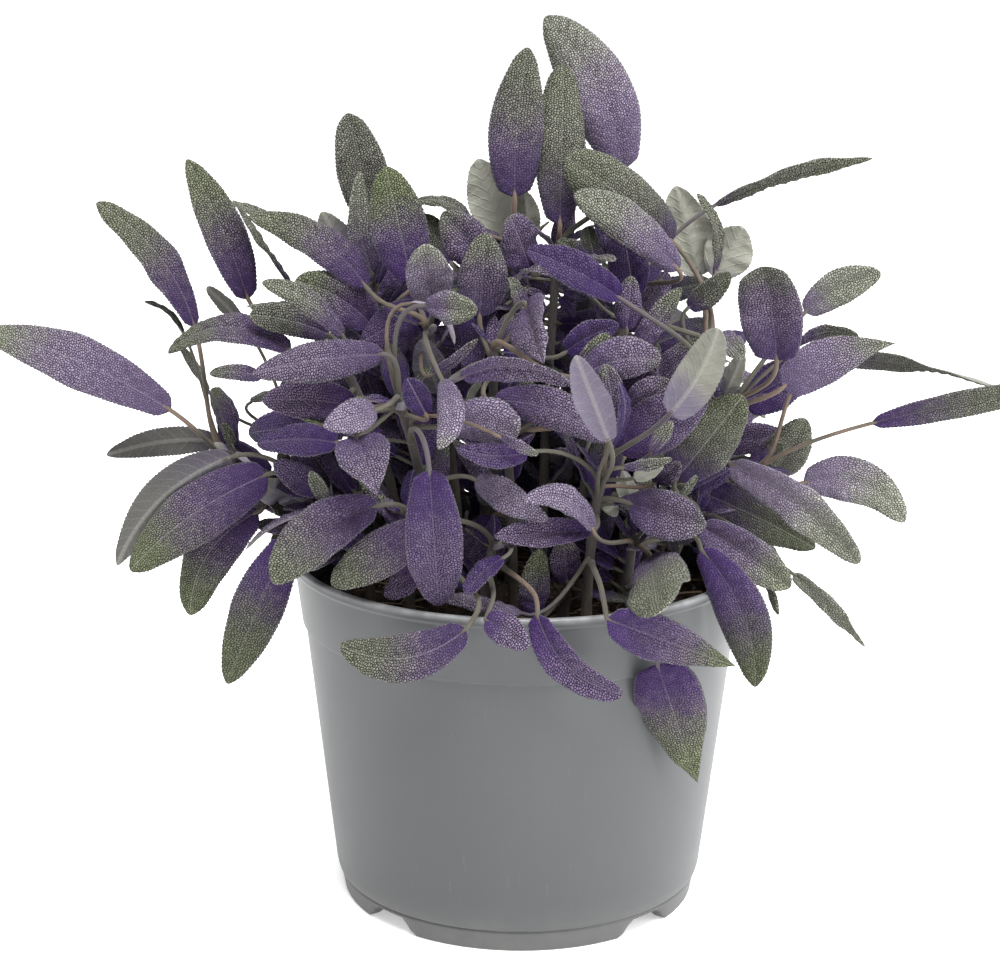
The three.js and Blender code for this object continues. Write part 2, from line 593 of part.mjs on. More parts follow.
// The petiole's points and then the blade's: the blade's own start at the last one of the petiole
function leafPoints(leaf, petiole, blade) {
  const petioleSteps = leaf.over || petiole.getLength() > LONG_PETIOLE ? 3 : 2;
  const bladeSteps = leaf.width >= LARGE_BLADE ? LARGE_BLADE_STEPS : SMALL_BLADE_STEPS;
  const points = [...petiole.getPoints(petioleSteps), ...blade.getPoints(bladeSteps).slice(1)];
  return { points, petioleSteps, bladeSteps };
}

// The leaf's stations, all thicker by extra: the petiole's narrow to the blade, whose margins are waved
function leafStations(leaf, petiole, blade, extra) {
  const { points, petioleSteps, bladeSteps } = leafPoints(leaf, petiole, blade);
  return stationsAlong(points, petioleSteps, leaf.facing, leaf.turn).map((station, i) => {
    if (i < petioleSteps) {
      const half = THREE.MathUtils.lerp(PETIOLE_HALF, PETIOLE_HALF_AT_BLADE, i / petioleSteps) + extra;
      return { ...station, width: half, thick: half };
    }
    const t = (i - petioleSteps) / bladeSteps;
    const wave = EDGE_WAVE * leaf.width * Math.sin(Math.PI * t);
    const phase = WAVES * t + leaf.phase;
    const twist = THREE.MathUtils.degToRad((leaf.twist ?? 0) * t);
    const along = station.up.clone().cross(station.across);
    return {
      at: station.at,
      up: station.up.applyAxisAngle(along, twist),
      across: station.across.applyAxisAngle(along, twist),
      width: (leaf.width / 2) * spread(t) + extra,
      thick: BLADE_THICKNESS / 2 + extra,
      lift: [wave * Math.sin(phase), wave * Math.sin(phase + WAVE_LAG)],
    };
  });
}

// A leaf on a shoot as its finished body, and as a fatter petiole and blade that tell whether it has room
function leafOn(node, leaf, blade) {
  const petiole = petioleCurve(node, leaf, blade);
  const { petioleSteps } = leafPoints(leaf, petiole, blade);
  const fat = leafStations(leaf, petiole, blade, CLEARANCE);
  return {
    body: toSolid(swept(leafStations(leaf, petiole, blade, 0))),
    petiole: toSolid(swept(fat.slice(0, petioleSteps + 1))),
    blade: toSolid(swept(fat.slice(petioleSteps))),
  };
}

function boxesMeet(a, b) {
  return a.min.every((low, i) => low <= b.max[i] && b.min[i] <= a.max[i]);
}

function crosses(solid, pieces) {
  const box = solid.boundingBox();
  return pieces.some((piece) => {
    if (!boxesMeet(box, piece.box)) {
      return false;
    }
    const meet = solid.intersect(piece.solid);
    const crossing = !meet.isEmpty();
    meet.delete();
    return crossing;
  });
}

// Everything placed so far: a leaf's blade keeps clear of all of it, and its petiole of all but its shoot
const placed = [];

function place(kind, shoot, solid) {
  placed.push({ kind, shoot, solid, box: solid.boundingBox() });
}

function hasRoom(shoot, { petiole, blade }) {
  const others = placed.filter((piece) => piece.shoot !== shoot || piece.kind === 'blade');
  return !crosses(blade, placed) && !crosses(petiole, others);
}

function tryLeaf(shoot, leaf) {
  const node = nearestNode(shoot, leaf.base);
  const blade = bladeCurve(leaf);
  const turnsBack = leaf.base.clone().sub(node.at).dot(blade.getTangent(0)) < 0;
  if (turnsBack && !leaf.over) {
    return false;
  }
  const made = leafOn(node, leaf, blade);
  if (!hasRoom(shoot, made)) {
    Object.values(made).forEach((solid) => solid.delete());
    return false;
  }
  node.leaves += 1;
  shoot.leaves.push(made.body);
  place('petiole', shoot, made.petiole);
  place('blade', shoot, made.blade);
  return true;
}

function nearestShoots(shoots, point) {
  const free = shoots.filter((shoot) => nearestNode(shoot, point));
  const distance = (shoot) => nearestNode(shoot, point).at.distanceTo(point);
  free.sort((a, b) => distance(a) - distance(b));
  return free.slice(0, NEAREST_SHOOTS);
}

// A seen leaf moves only along its sight line, step by step, until it has room on one of the nearest shoots
function growSeenLeaf(shoots, [base, tip, width, how], phase) {
  for (let i = 0; i <= 2 * DEPTH_STEPS; i += 1) {
    const shift = (i % 2 ? -1 : 1) * Math.ceil(i / 2) * DEPTH_STEP;
    const deeper = ([x, z, depth]) => seen([x, z, depth + shift]);
    const ends = { base: deeper(base), tip: deeper(tip) };
    const over = how.over && seen(how.over);
    const facing = EYE.clone().sub(ends.base).normalize();
    const leaf = { ...how, ...ends, over, facing, width, phase };
    if (nearestShoots(shoots, leaf.base).some((shoot) => tryLeaf(shoot, leaf))) {
      return;
    }
  }
}

// Repeatable dice: numbers from 0 to 1 that follow from the seed
function dice(seed) {
  let state = seed;
  return () => {
    state = (state * 16807) % 2147483647;
    return state / 2147483647;
  };
}

function insideDome(point) {
  const share = EYE.y / (EYE.y - point.y);
  const x = point.x * share;
  const z = EYE.z + (point.z - EYE.z) * share;
  const outline = (x / DOME_HALF_WIDTH) ** 2 + ((z - DOME_FOOT) / DOME_HEIGHT) ** 2;
  return outline < 1 && point.y < BACK_REACH;
}

// A leaf across the sight line through x, z on the upright plane, with its upper side to the eye
function heartLeaf(x, z, seed) {
  const roll = dice(seed);
  const between = ([low, high]) => low + (high - low) * roll();
  roll();
  const depth = between(HEART_DEPTH);
  const climb = between(HEART_CLIMB);
  const length = between(HEART_LENGTH);
  const width = length * between(HEART_WIDTH_PER_LENGTH);
  const side = Math.sign(x - HEART_X) || 1;
  const reach = [side * Math.cos(climb) * length / 2, Math.sin(climb) * length / 2];
  const base = seen([x - reach[0], z - reach[1], depth]);
  const tip = seen([x + reach[0], z + reach[1], depth]);
  const facing = EYE.clone().sub(base).normalize();
  return { base, tip, facing, width, turn: between(TURN), bow: between(BOW), bulge: BULGE, phase: depth };
}

function growHeartLeaf(shoots, x, z, line) {
  for (let attempt = 0; attempt < HEART_TRIES; attempt += 1) {
    const leaf = heartLeaf(x, z, 1 + line * SEED_PER_LEAF + attempt * SEED_PER_LINE);
    if (nearestShoots(shoots, leaf.base).some((shoot) => tryLeaf(shoot, leaf))) {
      return;
    }
  }
}

function closeHeart(shoots) {
  const sight = new THREE.Raycaster();
  const screens = [];
  const blocked = (x, z) => {
    placed.slice(screens.length).forEach(({ solid }) => screens.push(new THREE.Mesh(toGeometry(solid))));
    sight.set(EYE, new THREE.Vector3(x, 0, z).sub(EYE).normalize());
    return sight.intersectObjects(screens).length > 0;
  };
  let line = 0;
  for (let z = HEART_Z - HEART_HALF_HEIGHT; z <= HEART_Z + HEART_HALF_HEIGHT; z += HEART_STEP) {
    for (let x = HEART_X - HEART_HALF_WIDTH; x <= HEART_X + HEART_HALF_WIDTH; x += HEART_STEP) {
      const away = ((x - HEART_X) / HEART_HALF_WIDTH) ** 2 + ((z - HEART_Z) / HEART_HALF_HEIGHT) ** 2;
      if (away < 1 && !blocked(x, z)) {
        growHeartLeaf(shoots, x, z, line);
      }
      line += 1;
    }
  }
}

// An unseen leaf grows outwards from its shoot, steep near the shoot's tip and flat or hanging lower down
function unseenLeaf(shoot, seed, number) {
  const roll = dice(seed);
  const between = ([low, high]) => low + (high - low) * roll();
  roll();
  const height = between(NODE_HEIGHT);
  const node = shoot.spine.getPoint(THREE.MathUtils.lerp(LEAFY_FROM, 1, height));
  const bearing = Math.atan2(node.y, node.x) + between(BEARING_SWING);
  const climb = THREE.MathUtils.lerp(CLIMB[0], CLIMB[1], height * roll());
  const out = new THREE.Vector3(Math.cos(bearing), Math.sin(bearing), 0);
  const up = new THREE.Vector3(0, 0, 1);
  const way = out.clone().multiplyScalar(Math.cos(climb)).addScaledVector(up, Math.sin(climb));
  const stalk = way.clone().addScaledVector(up, STALK_CLIMB);
  const base = node.clone().addScaledVector(stalk, between(STALK_LENGTH));
  const length = between(BLADE_LENGTH);
  const tip = base.clone().addScaledVector(way.addScaledVector(up, -BLADE_DROOP).normalize(), length);
  const facing = up.clone().addScaledVector(out, between(BLADE_LEAN));
  const width = length * between(WIDTH_PER_LENGTH);
  return { base, tip, facing, width, turn: between(TURN), bow: between(BOW), bulge: BULGE, phase: number };
}

function growUnseenLeaf(shoot, shootNumber, leafNumber) {
  for (let attempt = 0; attempt < UNSEEN_TRIES; attempt += 1) {
    const seed = 1 + shootNumber * SEED_PER_SHOOT + leafNumber * SEED_PER_LEAF + attempt * SEED_PER_TRY;
    const leaf = unseenLeaf(shoot, seed, leafNumber);
    if (insideDome(leaf.tip) && insideDome(leaf.base) && tryLeaf(shoot, leaf)) {
      return;
    }
  }
}

function growShoots(pot, compost) {
  place('pot', null, pot);
  place('compost', null, compost);
  const shoots = SHOOTS.map((row) => {
    const points = stemCurve(row).getPoints(STEM_STEPS);
    const spine = spineOf(points);
    const shoot = { name: row[0], spine, nodes: nodesOf(spine), leaves: [] };
    shoot.stem = toSolid(swept(stemStations(points)));
    place('stem', shoot, shoot.stem);
    return shoot;
  });
  LEAVES.forEach((row, i) => growSeenLeaf(shoots, row, i));
  closeHeart(shoots);
  shoots.forEach((shoot, i) => {
    for (let k = 0; k < (UNSEEN_LEAVES[shoot.name] ?? 0); k += 1) {
      growUnseenLeaf(shoot, i, k);
    }
  });
  return shoots;
}

// Hollows that leaves and petioles close off among themselves are filled
function withoutHollows(solid) {
  const bodies = toSolid(toGeometry(solid)).decompose().filter((body) => body.volume() > 0);
  return bodies.reduce((sum, body) => sum.add(body));
}

const pot = potSolid();
const compost = compostSolid();
const plant = new THREE.Group();
plant.add(namedMesh('pot', toGeometry(pot), greyPlastic.clone()));
plant.add(namedMesh('compost', toGeometry(compost), darkCompost.clone()));
for (const shoot of growShoots(pot, compost)) {
  const whole = shoot.leaves.reduce((sum, leaf) => sum.add(leaf), shoot.stem);
  plant.add(namedMesh(`shoot_${shoot.name}`, toGeometry(withoutHollows(whole)), sageLeaf.clone()));
}

const middle = new THREE.Box3().setFromObject(plant).getCenter(new THREE.Vector3());
plant.position.set(-middle.x, -middle.y, 0);

export default plant;
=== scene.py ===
import math

import bpy
import numpy as np
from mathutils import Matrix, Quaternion, Vector, noise
from mathutils.bvhtree import BVHTree


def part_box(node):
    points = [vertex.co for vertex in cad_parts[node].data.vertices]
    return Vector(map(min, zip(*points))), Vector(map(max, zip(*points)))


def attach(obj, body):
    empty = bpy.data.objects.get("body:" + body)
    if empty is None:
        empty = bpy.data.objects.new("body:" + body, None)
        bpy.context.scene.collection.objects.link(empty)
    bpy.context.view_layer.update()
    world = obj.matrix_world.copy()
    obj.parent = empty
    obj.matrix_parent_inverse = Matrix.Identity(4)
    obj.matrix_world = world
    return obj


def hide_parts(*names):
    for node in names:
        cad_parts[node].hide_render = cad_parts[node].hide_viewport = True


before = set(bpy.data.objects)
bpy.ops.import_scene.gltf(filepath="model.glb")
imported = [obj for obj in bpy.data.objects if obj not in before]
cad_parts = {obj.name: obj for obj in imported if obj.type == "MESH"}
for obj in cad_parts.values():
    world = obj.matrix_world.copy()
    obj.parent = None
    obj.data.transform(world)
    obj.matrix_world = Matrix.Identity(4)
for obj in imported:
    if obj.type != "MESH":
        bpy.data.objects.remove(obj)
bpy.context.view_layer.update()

# Pot: a round nursery pot, moulded in one piece from grey polypropylene. A wide band stiffens the mouth
# under a rounded lip, and the low foot ring is cut through in four places so that water drains away.
# All sizes in this script are in millimetres about the pot's axis, until a piece is made in metres.
MM = 0.001
pot_low, pot_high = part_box("pot")
pot_axis = (pot_low + pot_high) / 2
PLANT_ORIGIN = np.array([pot_axis.x, pot_axis.y, 0])

POT_HEIGHT = 100.4
RIM_RADIUS = 65
RIM_BAND_HEIGHT = 19
BAND_FOOT_RADIUS = 62.2
WALL_TOP_RADIUS = 61.3
WALL_FOOT_RADIUS = 53
WALL = 1.4
LIP = 2.2
LIP_HEIGHT = 2.6
CREASE_HEIGHT = 7.5
FOOT_RADIUS = 50.5
FOOT_WIDTH = 3.4
FLOOR_UNDERSIDE = 5.2
FLOOR_TOP = 7
FEET = 4
NOTCH_HEIGHT = 4.6
NOTCH_TOP_HALF = 4.5
NOTCH_FOOT_HALF = 10.5
DRAIN_RADIUS = 4
DRAIN_CIRCLE = 34
DRILL_SIDES = 32
DRILL_PAST = 3
POT_SIDES = 192
ROUND_STEPS = 4
WALL_STEPS = 14


class Wire:
    """The output of one node of a material. Arithmetic on wires adds the Math nodes."""

    def __init__(self, tree, socket=None):
        self.tree = tree
        self.socket = socket

    def node(self, kind, settings=None, sockets=None, output=0):
        """A new node of that kind, with its settings made first and then its sockets filled or linked."""
        made = self.tree.nodes.new(kind)
        for name, value in (settings or {}).items():
            if name == "stops":
                ramp = made.color_ramp.elements
                while len(ramp) < len(value):
                    ramp.new(1)
                for element, (position, colour) in zip(ramp, value):
                    element.position = position
                    element.color = (*colour, 1)
            else:
                setattr(made, name, value)
        for name, value in (sockets or {}).items():
            if isinstance(value, Wire):
                self.tree.links.new(value.socket, made.inputs[name])
            elif value is not None:
                made.inputs[name].default_value = value
        return Wire(self.tree, made.outputs[output])

    def math(self, operation, *terms):
        """The Math node of that operation on wires and numbers."""
        return self.node("ShaderNodeMath", {"operation": operation}, dict(enumerate(terms)))

    def __add__(self, other):
        return self.math("ADD", self, other)

    def __radd__(self, other):
        return self.math("ADD", other, self)

    def __sub__(self, other):
        return self.math("SUBTRACT", self, other)

    def __rsub__(self, other):
        return self.math("SUBTRACT", other, self)

    def __mul__(self, other):
        return self.math("MULTIPLY", self, other)

    def __rmul__(self, other):
        return self.math("MULTIPLY", other, self)

    def __truediv__(self, other):
        return self.math("DIVIDE", self, other)

    def __abs__(self):
        return self.math("ABSOLUTE", self)

    def step(self, low, high):
        """Rises smoothly from 0 where this wire is at low to 1 where it is at high."""
        sockets = {"Value": self, 1: low, 2: high}
        return self.node("ShaderNodeMapRange", {"interpolation_type": "SMOOTHSTEP"}, sockets)

    def mix(self, low, high):
        """A colour between low and high by this wire."""
        both = {
            6 + i: colour if isinstance(colour, Wire) else (*colour, 1)
            for i, colour in enumerate((low, high))
        }
        return self.node("ShaderNodeMix", {"data_type": "RGBA"}, {0: self, **both}, 2)

    def place(self):
        """The place on the object, in metres."""
        return self.node("ShaderNodeTexCoord", {}, {}, "Object")

    def vector(self, x, y, z=0):
        """A vector of three numbers."""
        return self.node("ShaderNodeCombineXYZ", {}, {0: x, 1: y, 2: z})

    def parts(self):
        """The three numbers of a vector."""
        split = self.node("ShaderNodeSeparateXYZ", {}, {0: self})
        return [Wire(self.tree, output) for output in split.socket.node.outputs]

    def stretched(self, x, y, z):
        """A vector with its three numbers multiplied."""
        scale = {0: self, 1: (x, y, z)}
        return self.node("ShaderNodeVectorMath", {"operation": "MULTIPLY"}, scale)

    def noise(self, vector, scale, detail=3, roughness=0.5):
        """Cloudy noise from 0 to 1, in patches of about 1 / scale."""
        sockets = {"Vector": vector, "Scale": scale, "Detail": detail, "Roughness": roughness}
        return self.node("ShaderNodeTexNoise", {}, sockets)

    def bump(self, strength, distance):
        """The normals of a surface on which this wire is the height."""
        sockets = {"Strength": strength, "Distance": distance, "Height": self}
        return self.node("ShaderNodeBump", {}, sockets)


def new_paint(name):
    """A material with one Principled shader: returns it, a loose wire for its nodes, and its shader."""
    material = bpy.data.materials.new(name)
    material.use_nodes = True
    tree = material.node_tree
    return material, Wire(tree), tree.nodes["Principled BSDF"]


def coat(shader, **sockets):
    """Fills or links the shader's sockets. A name is written with _ for a space."""
    for name, value in sockets.items():
        slot = shader.inputs[name.replace("_", " ")]
        if isinstance(value, Wire):
            value.tree.links.new(value.socket, slot)
        else:
            slot.default_value = value


def new_piece(name, vertices, faces, paints, paint_of_face=None, attributes=None):
    """An object from vertices in millimetres, standing where the plant stands."""
    mesh = bpy.data.meshes.new(name)
    placed = np.asarray(vertices) * MM + PLANT_ORIGIN
    mesh.from_pydata(placed.tolist(), [], faces)
    for paint in paints:
        mesh.materials.append(paint)
    if paint_of_face is not None:
        mesh.polygons.foreach_set("material_index", paint_of_face)
    for label, values in (attributes or {}).items():
        layer = mesh.attributes.new(label, "FLOAT_VECTOR", "POINT")
        layer.data.foreach_set("vector", np.asarray(values, np.float32).ravel())
    mesh.shade_smooth()
    made = bpy.data.objects.new(name, mesh)
    bpy.context.scene.collection.objects.link(made)
    return made


def unit(vector):
    return vector / np.linalg.norm(vector)


def rounded(corners, steps):
    """A path through [x, y, radius] corners, each turned off by an arc of that radius."""
    path = []
    for i, (x, y, radius) in enumerate(corners):
        corner = np.array([x, y], float)
        if radius == 0:
            path.append(corner)
            continue
        before = np.array(corners[i - 1][:2], float) - corner
        after = np.array(corners[i + 1][:2], float) - corner
        start = corner + radius * before / np.linalg.norm(before)
        end = corner + radius * after / np.linalg.norm(after)
        for t in np.linspace(0, 1, steps + 1):
            path.append((1 - t) ** 2 * start + 2 * t * (1 - t) * corner + t**2 * end)
    return path


def subdivided(path, low, high, steps):
    """The path with its one long piece between the heights low and high cut into steps."""
    made = []
    for a, b in zip(path, path[1:]):
        made.append(a)
        if a[1] <= low and b[1] >= high:
            made.extend(a + (b - a) * i / steps for i in range(1, steps))
    return [*made, path[-1]]


def belt_faces(rings, sides):
    """The faces between rings of vertices that are numbered one ring after another."""
    faces = []
    for i in range(rings - 1):
        for k in range(sides):
            n = (k + 1) % sides
            faces.append((i * sides + k, i * sides + n, (i + 1) * sides + n, (i + 1) * sides + k))
    return faces


def turned_rings(path, sides, reshape):
    """Vertices and faces of a path of [radius, height] turned about the axis, closed at its two ends.
    reshape takes the radius, height and bearing of each vertex, and gives its radius and height."""
    bearings = np.arange(sides) * 2 * math.pi / sides
    vertices = []
    for radius, height in path[1:-1]:
        for bearing in bearings:
            r, z = reshape(radius, height, bearing)
            vertices.append((r * math.cos(bearing), r * math.sin(bearing), z))
    rings = len(path) - 2
    faces = belt_faces(rings, sides)
    for ring, end, flip in ((0, path[0], True), (rings - 1, path[-1], False)):
        centre = len(vertices)
        vertices.append((0, 0, end[1]))
        for k in range(sides):
            a, b = ring * sides + k, ring * sides + (k + 1) % sides
            faces.append((centre, b, a) if flip else (centre, a, b))
    return vertices, faces


def notch_top(bearing):
    """How high the foot ring is cut away at that bearing, with rounded shoulders."""
    quarter = 2 * math.pi / FEET
    off = (bearing % quarter) - quarter / 2
    along = abs(off) * FOOT_RADIUS
    share = (NOTCH_FOOT_HALF - along) / (NOTCH_FOOT_HALF - NOTCH_TOP_HALF)
    share = min(max(share, 0), 1)
    return NOTCH_HEIGHT * share * share * (3 - 2 * share)


def foot_cut(radius, height, bearing):
    """A vertex of the pot, raised to the top of the notch if it would hang into one."""
    return radius, max(height, notch_top(bearing))


band_foot = POT_HEIGHT - RIM_BAND_HEIGHT
pot_corners = [
    [0, FLOOR_UNDERSIDE, 0],
    [FOOT_RADIUS - FOOT_WIDTH - 1, FLOOR_UNDERSIDE, 0.5],
    [FOOT_RADIUS - FOOT_WIDTH, 0, 0.5],
    [FOOT_RADIUS + 0.2, 0, 0.8],
    [FOOT_RADIUS + 1.2, CREASE_HEIGHT - 1.9, 0.4],
    [FOOT_RADIUS + 0.9, CREASE_HEIGHT - 1.3, 0.2],
    [WALL_FOOT_RADIUS - 0.6, CREASE_HEIGHT - 0.7, 0.6],
    [WALL_FOOT_RADIUS, CREASE_HEIGHT + 1.6, 0.8],
    [WALL_TOP_RADIUS, band_foot - 0.9, 0.25],
    [WALL_TOP_RADIUS + 0.05, band_foot - 0.45, 0.15],
    [BAND_FOOT_RADIUS, band_foot, 0.4],
    [RIM_RADIUS - 0.75, POT_HEIGHT - LIP_HEIGHT - 0.4, 0.4],
    [RIM_RADIUS, POT_HEIGHT - LIP_HEIGHT + 0.4, 0.4],
    [RIM_RADIUS, POT_HEIGHT, 0.8],
    [RIM_RADIUS - LIP, POT_HEIGHT, 0.8],
    [BAND_FOOT_RADIUS - WALL, band_foot, 0.5],
    [WALL_TOP_RADIUS - WALL, band_foot - WALL, 0.5],
    [WALL_FOOT_RADIUS - WALL, FLOOR_TOP + 2.4, 1.5],
    [WALL_FOOT_RADIUS - WALL - 2.4, FLOOR_TOP, 0.8],
    [0, FLOOR_TOP, 0],
]
pot_path = subdivided(rounded(pot_corners, ROUND_STEPS), CREASE_HEIGHT + 3, band_foot - 2, WALL_STEPS)
pot_vertices, pot_faces = turned_rings(pot_path, POT_SIDES, foot_cut)

pot_paint, wire, shader = new_paint("satin_grey_plastic")
place = wire.place()
along_pot = place.parts()
stains = wire.noise(place, 18, 4, 0.6)
flow = wire.noise(place.stretched(60, 60, 9), 1, 3, 0.55)
pores = wire.noise(place, 2600, 2, 0.6)
scratches = wire.noise(place.stretched(900, 900, 60), 1, 2, 0.7).step(0.66, 0.74)
foot_dust = along_pot[2].step(0.016, 0.001) * wire.noise(place, 160, 4, 0.6)
# Painted highlight: a lighter, slightly uneven band along the top of the lip.
painted_lip_highlight = along_pot[2].step(0.0985, 0.1003) * (0.6 + 0.4 * wire.noise(place, 220, 3, 0.6).step(0.35, 0.7))
grey = (stains * 0.6 + flow * 0.4).mix((0.058, 0.061, 0.0635), (0.0725, 0.076, 0.079))
# Painted shade: the grey darkens towards the foot of the pot, from 80 mm down to the floor.
grey = (along_pot[2].step(0.08, 0) * 0.4).mix(grey, (0.05, 0.052, 0.054))
grey = (foot_dust * 0.35).mix(grey, (0.2, 0.19, 0.17))
# The lip's painted highlight and the real scratches both lighten the grey here.
grey = (painted_lip_highlight * 0.7 + scratches * 0.06).mix(grey, (0.3, 0.305, 0.31))
height = pores * 0.5 + flow * 0.5 - scratches * 0.35
coat(
    shader,
    Base_Color=grey,
    Roughness=0.33 + 0.16 * stains + 0.2 * foot_dust + 0.1 * scratches,
    IOR=1.49,
    Specular_IOR_Level=0.35,
    Normal=height.bump(0.35, 0.00004),
)

pot = new_piece("nursery_pot", pot_vertices, pot_faces, [pot_paint])
drain_drill = []
drill_low, drill_high = FLOOR_UNDERSIDE - DRILL_PAST, FLOOR_TOP + DRILL_PAST
path = [(0, drill_low), (DRAIN_RADIUS, drill_low), (DRAIN_RADIUS, drill_high), (0, drill_high)]
drill_vertices, drill_faces = turned_rings(path, DRILL_SIDES, lambda r, z, b: (r, z))
for i in range(FEET):
    bearing = (i + 0.5) * 2 * math.pi / FEET
    centre = np.array([DRAIN_CIRCLE * math.cos(bearing), DRAIN_CIRCLE * math.sin(bearing), 0])
    drill = new_piece(f"drill_{i}", np.array(drill_vertices) + centre, drill_faces, [])
    cut = pot.modifiers.new(f"drain_hole_{i}", "BOOLEAN")
    cut.operation = "DIFFERENCE"
    cut.solver = "EXACT"
    cut.object = drill
    drain_drill.append(drill)
drilled = pot.evaluated_get(bpy.context.evaluated_depsgraph_get())
pot_mesh = bpy.data.meshes.new_from_object(drilled)
pot.modifiers.clear()
pot.data = pot_mesh
for drill in drain_drill:
    bpy.data.objects.remove(drill)
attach(pot, "root")
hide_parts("pot")

# Compost: peat and bark, filled to a centimetre below the rim and watered down, so that it is crumbly
# and lies a little higher in the middle. Coarse crumbs and bits of bark stand out of its surface.
COMPOST_TOP = 88
COMPOST_MOUND = 2.5
COMPOST_GAP = 0.6
COMPOST_RADIUS = 59.4
COMPOST_FOOT_RADIUS = 49.5
COMPOST_RINGS = 84
COMPOST_SIDES = 220
CRUMBS = 520
CRUMB_SIZE = (0.4, 1.5)
CRUMB_FLATNESS = (1, 1, 0.7)
CRUMB_SIDES = 7
CRUMB_RINGS = 3
CRUMB_UNEVEN = 0.45


def compost_height(x, y):
    """The surface of the compost at a place: its mound, clods and crumbs."""
    share = min(math.hypot(x, y) / COMPOST_RADIUS, 1)
    mound = COMPOST_TOP - 1.5 + COMPOST_MOUND * (1 - share * share)
    clods = noise.noise((x * 0.11, y * 0.11, 3.1)) * 1.3
    crumbs = abs(noise.noise((x * 0.42, y * 0.42, 8.7))) * 1.6
    grains = noise.noise((x * 1.3, y * 1.3, 1.9)) * 0.45
    return mound + clods + crumbs + grains


compost_path = [(0, FLOOR_TOP + COMPOST_GAP), (COMPOST_FOOT_RADIUS - 3, FLOOR_TOP + COMPOST_GAP)]
compost_path += [(COMPOST_FOOT_RADIUS, FLOOR_TOP + 5), (COMPOST_RADIUS - 0.4, COMPOST_TOP - 6)]
compost_path += [(COMPOST_RADIUS * (1 - i / COMPOST_RINGS), COMPOST_TOP) for i in range(COMPOST_RINGS + 1)]


def crumbled(radius, height, bearing):
    """A vertex of the compost, at the height that its surface has there."""
    if height < COMPOST_TOP:
        return radius, height
    x, y = radius * math.cos(bearing), radius * math.sin(bearing)
    return radius, compost_height(x, y)


compost_vertices, compost_faces = turned_rings(compost_path, COMPOST_SIDES, crumbled)
compost_vertices[-1] = (0, 0, compost_height(0, 0))


def lump(centre, size, seed):
    """A small closed crumb: a ball of a few rings with uneven sides."""
    sides, rings = CRUMB_SIDES, CRUMB_RINGS
    points = [(0, 0, -1)]
    for i in range(1, rings + 1):
        tilt = math.pi * i / (rings + 1)
        for k in range(sides):
            turn = 2 * math.pi * (k + 0.5 * (i % 2)) / sides
            out = math.sin(tilt)
            points.append((out * math.cos(turn), out * math.sin(turn), -math.cos(tilt)))
    points.append((0, 0, 1))
    points = np.array(points)
    swell = [1 + CRUMB_UNEVEN * noise.noise((p[0] + seed, p[1] * 1.3, p[2] * 1.3)) for p in points]
    points *= np.array(swell)[:, None] * size
    faces = []
    for k in range(sides):
        n = (k + 1) % sides
        faces.append((0, 1 + n, 1 + k))
        for i in range(rings - 1):
            a, b = 1 + i * sides + k, 1 + i * sides + n
            faces.append((a, b, b + sides, a + sides))
        top = 1 + (rings - 1) * sides
        faces.append((top + k, top + n, len(points) - 1))
    return points + centre, faces


def joined(parts):
    """The vertices of all the parts in one array, and their faces in one list."""
    starts = np.cumsum([0, *[len(points) for points, _ in parts]]).tolist()
    faces = [tuple(start + c for c in face) for start, (_, own) in zip(starts, parts) for face in own]
    return np.concatenate([points for points, _ in parts]), faces


dice = np.random.default_rng(41)
parts = [(np.array(compost_vertices), compost_faces)]
for i in range(CRUMBS):
    reach = (COMPOST_RADIUS - 2) * math.sqrt(dice.uniform(0, 1))
    bearing = dice.uniform(0, 2 * math.pi)
    x, y = reach * math.cos(bearing), reach * math.sin(bearing)
    size = dice.uniform(*CRUMB_SIZE, 3) * CRUMB_FLATNESS
    parts.append(lump((x, y, compost_height(x, y) + 0.2), size, 5.3 * i))

compost_paint, wire, shader = new_paint("peat_and_bark")
place = wire.place()
patches = wire.noise(place, 110, 4, 0.6)
grit = wire.noise(place, 700, 4, 0.65)
fibres = wire.noise(place.stretched(1500, 350, 700), 1, 3, 0.6).step(0.62, 0.72)
brown = grit.mix((0.006, 0.004, 0.003), (0.052, 0.034, 0.022))
brown = patches.step(0.5, 0.75).mix(brown, (0.075, 0.05, 0.032))
brown = (fibres * 0.5).mix(brown, (0.19, 0.135, 0.085))
coat(
    shader,
    Base_Color=brown,
    Roughness=0.92 - 0.12 * patches,
    Specular_IOR_Level=0.3,
    Normal=grit.bump(0.9, 0.0006),
)
compost = new_piece("compost_surface", *joined(parts), [compost_paint])
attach(compost, "root")
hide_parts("compost")

# Litter: straw, split bark and bits of dead stalk that lie on the compost, as it came from the nursery.
# Each is a thin bent strip that rests on the crumbs.
STRAWS = 150
STRAW_LENGTH = (3, 16)
STRAW_HALF_WIDTH = (0.25, 0.8)
STRAW_HALF_THICK = (0.15, 0.35)
STRAW_BEND = (-0.25, 0.25)
STRAW_LEAN = (-0.08, 0.12)
STRAW_POINTS = 6
STRAW_SIDES = 6
WALL_CLEARANCE = 3
CRUMB_CLEARANCE = 0.15


def units(vectors):
    """Each vector of an array at length 1."""
    return vectors / np.linalg.norm(vectors, axis=1)[:, None]


def tube_faces(rings, sides):
    """The faces of a closed tube: its belts, and one face over each end."""
    last = sides * (rings - 1)
    ends = [tuple(reversed(range(sides))), tuple(last + k for k in range(sides))]
    return belt_faces(rings, sides) + ends


def drawn(dice, *limits):
    """A number between each pair of limits, drawn in their order."""
    return tuple(dice.uniform(*pair) for pair in limits)


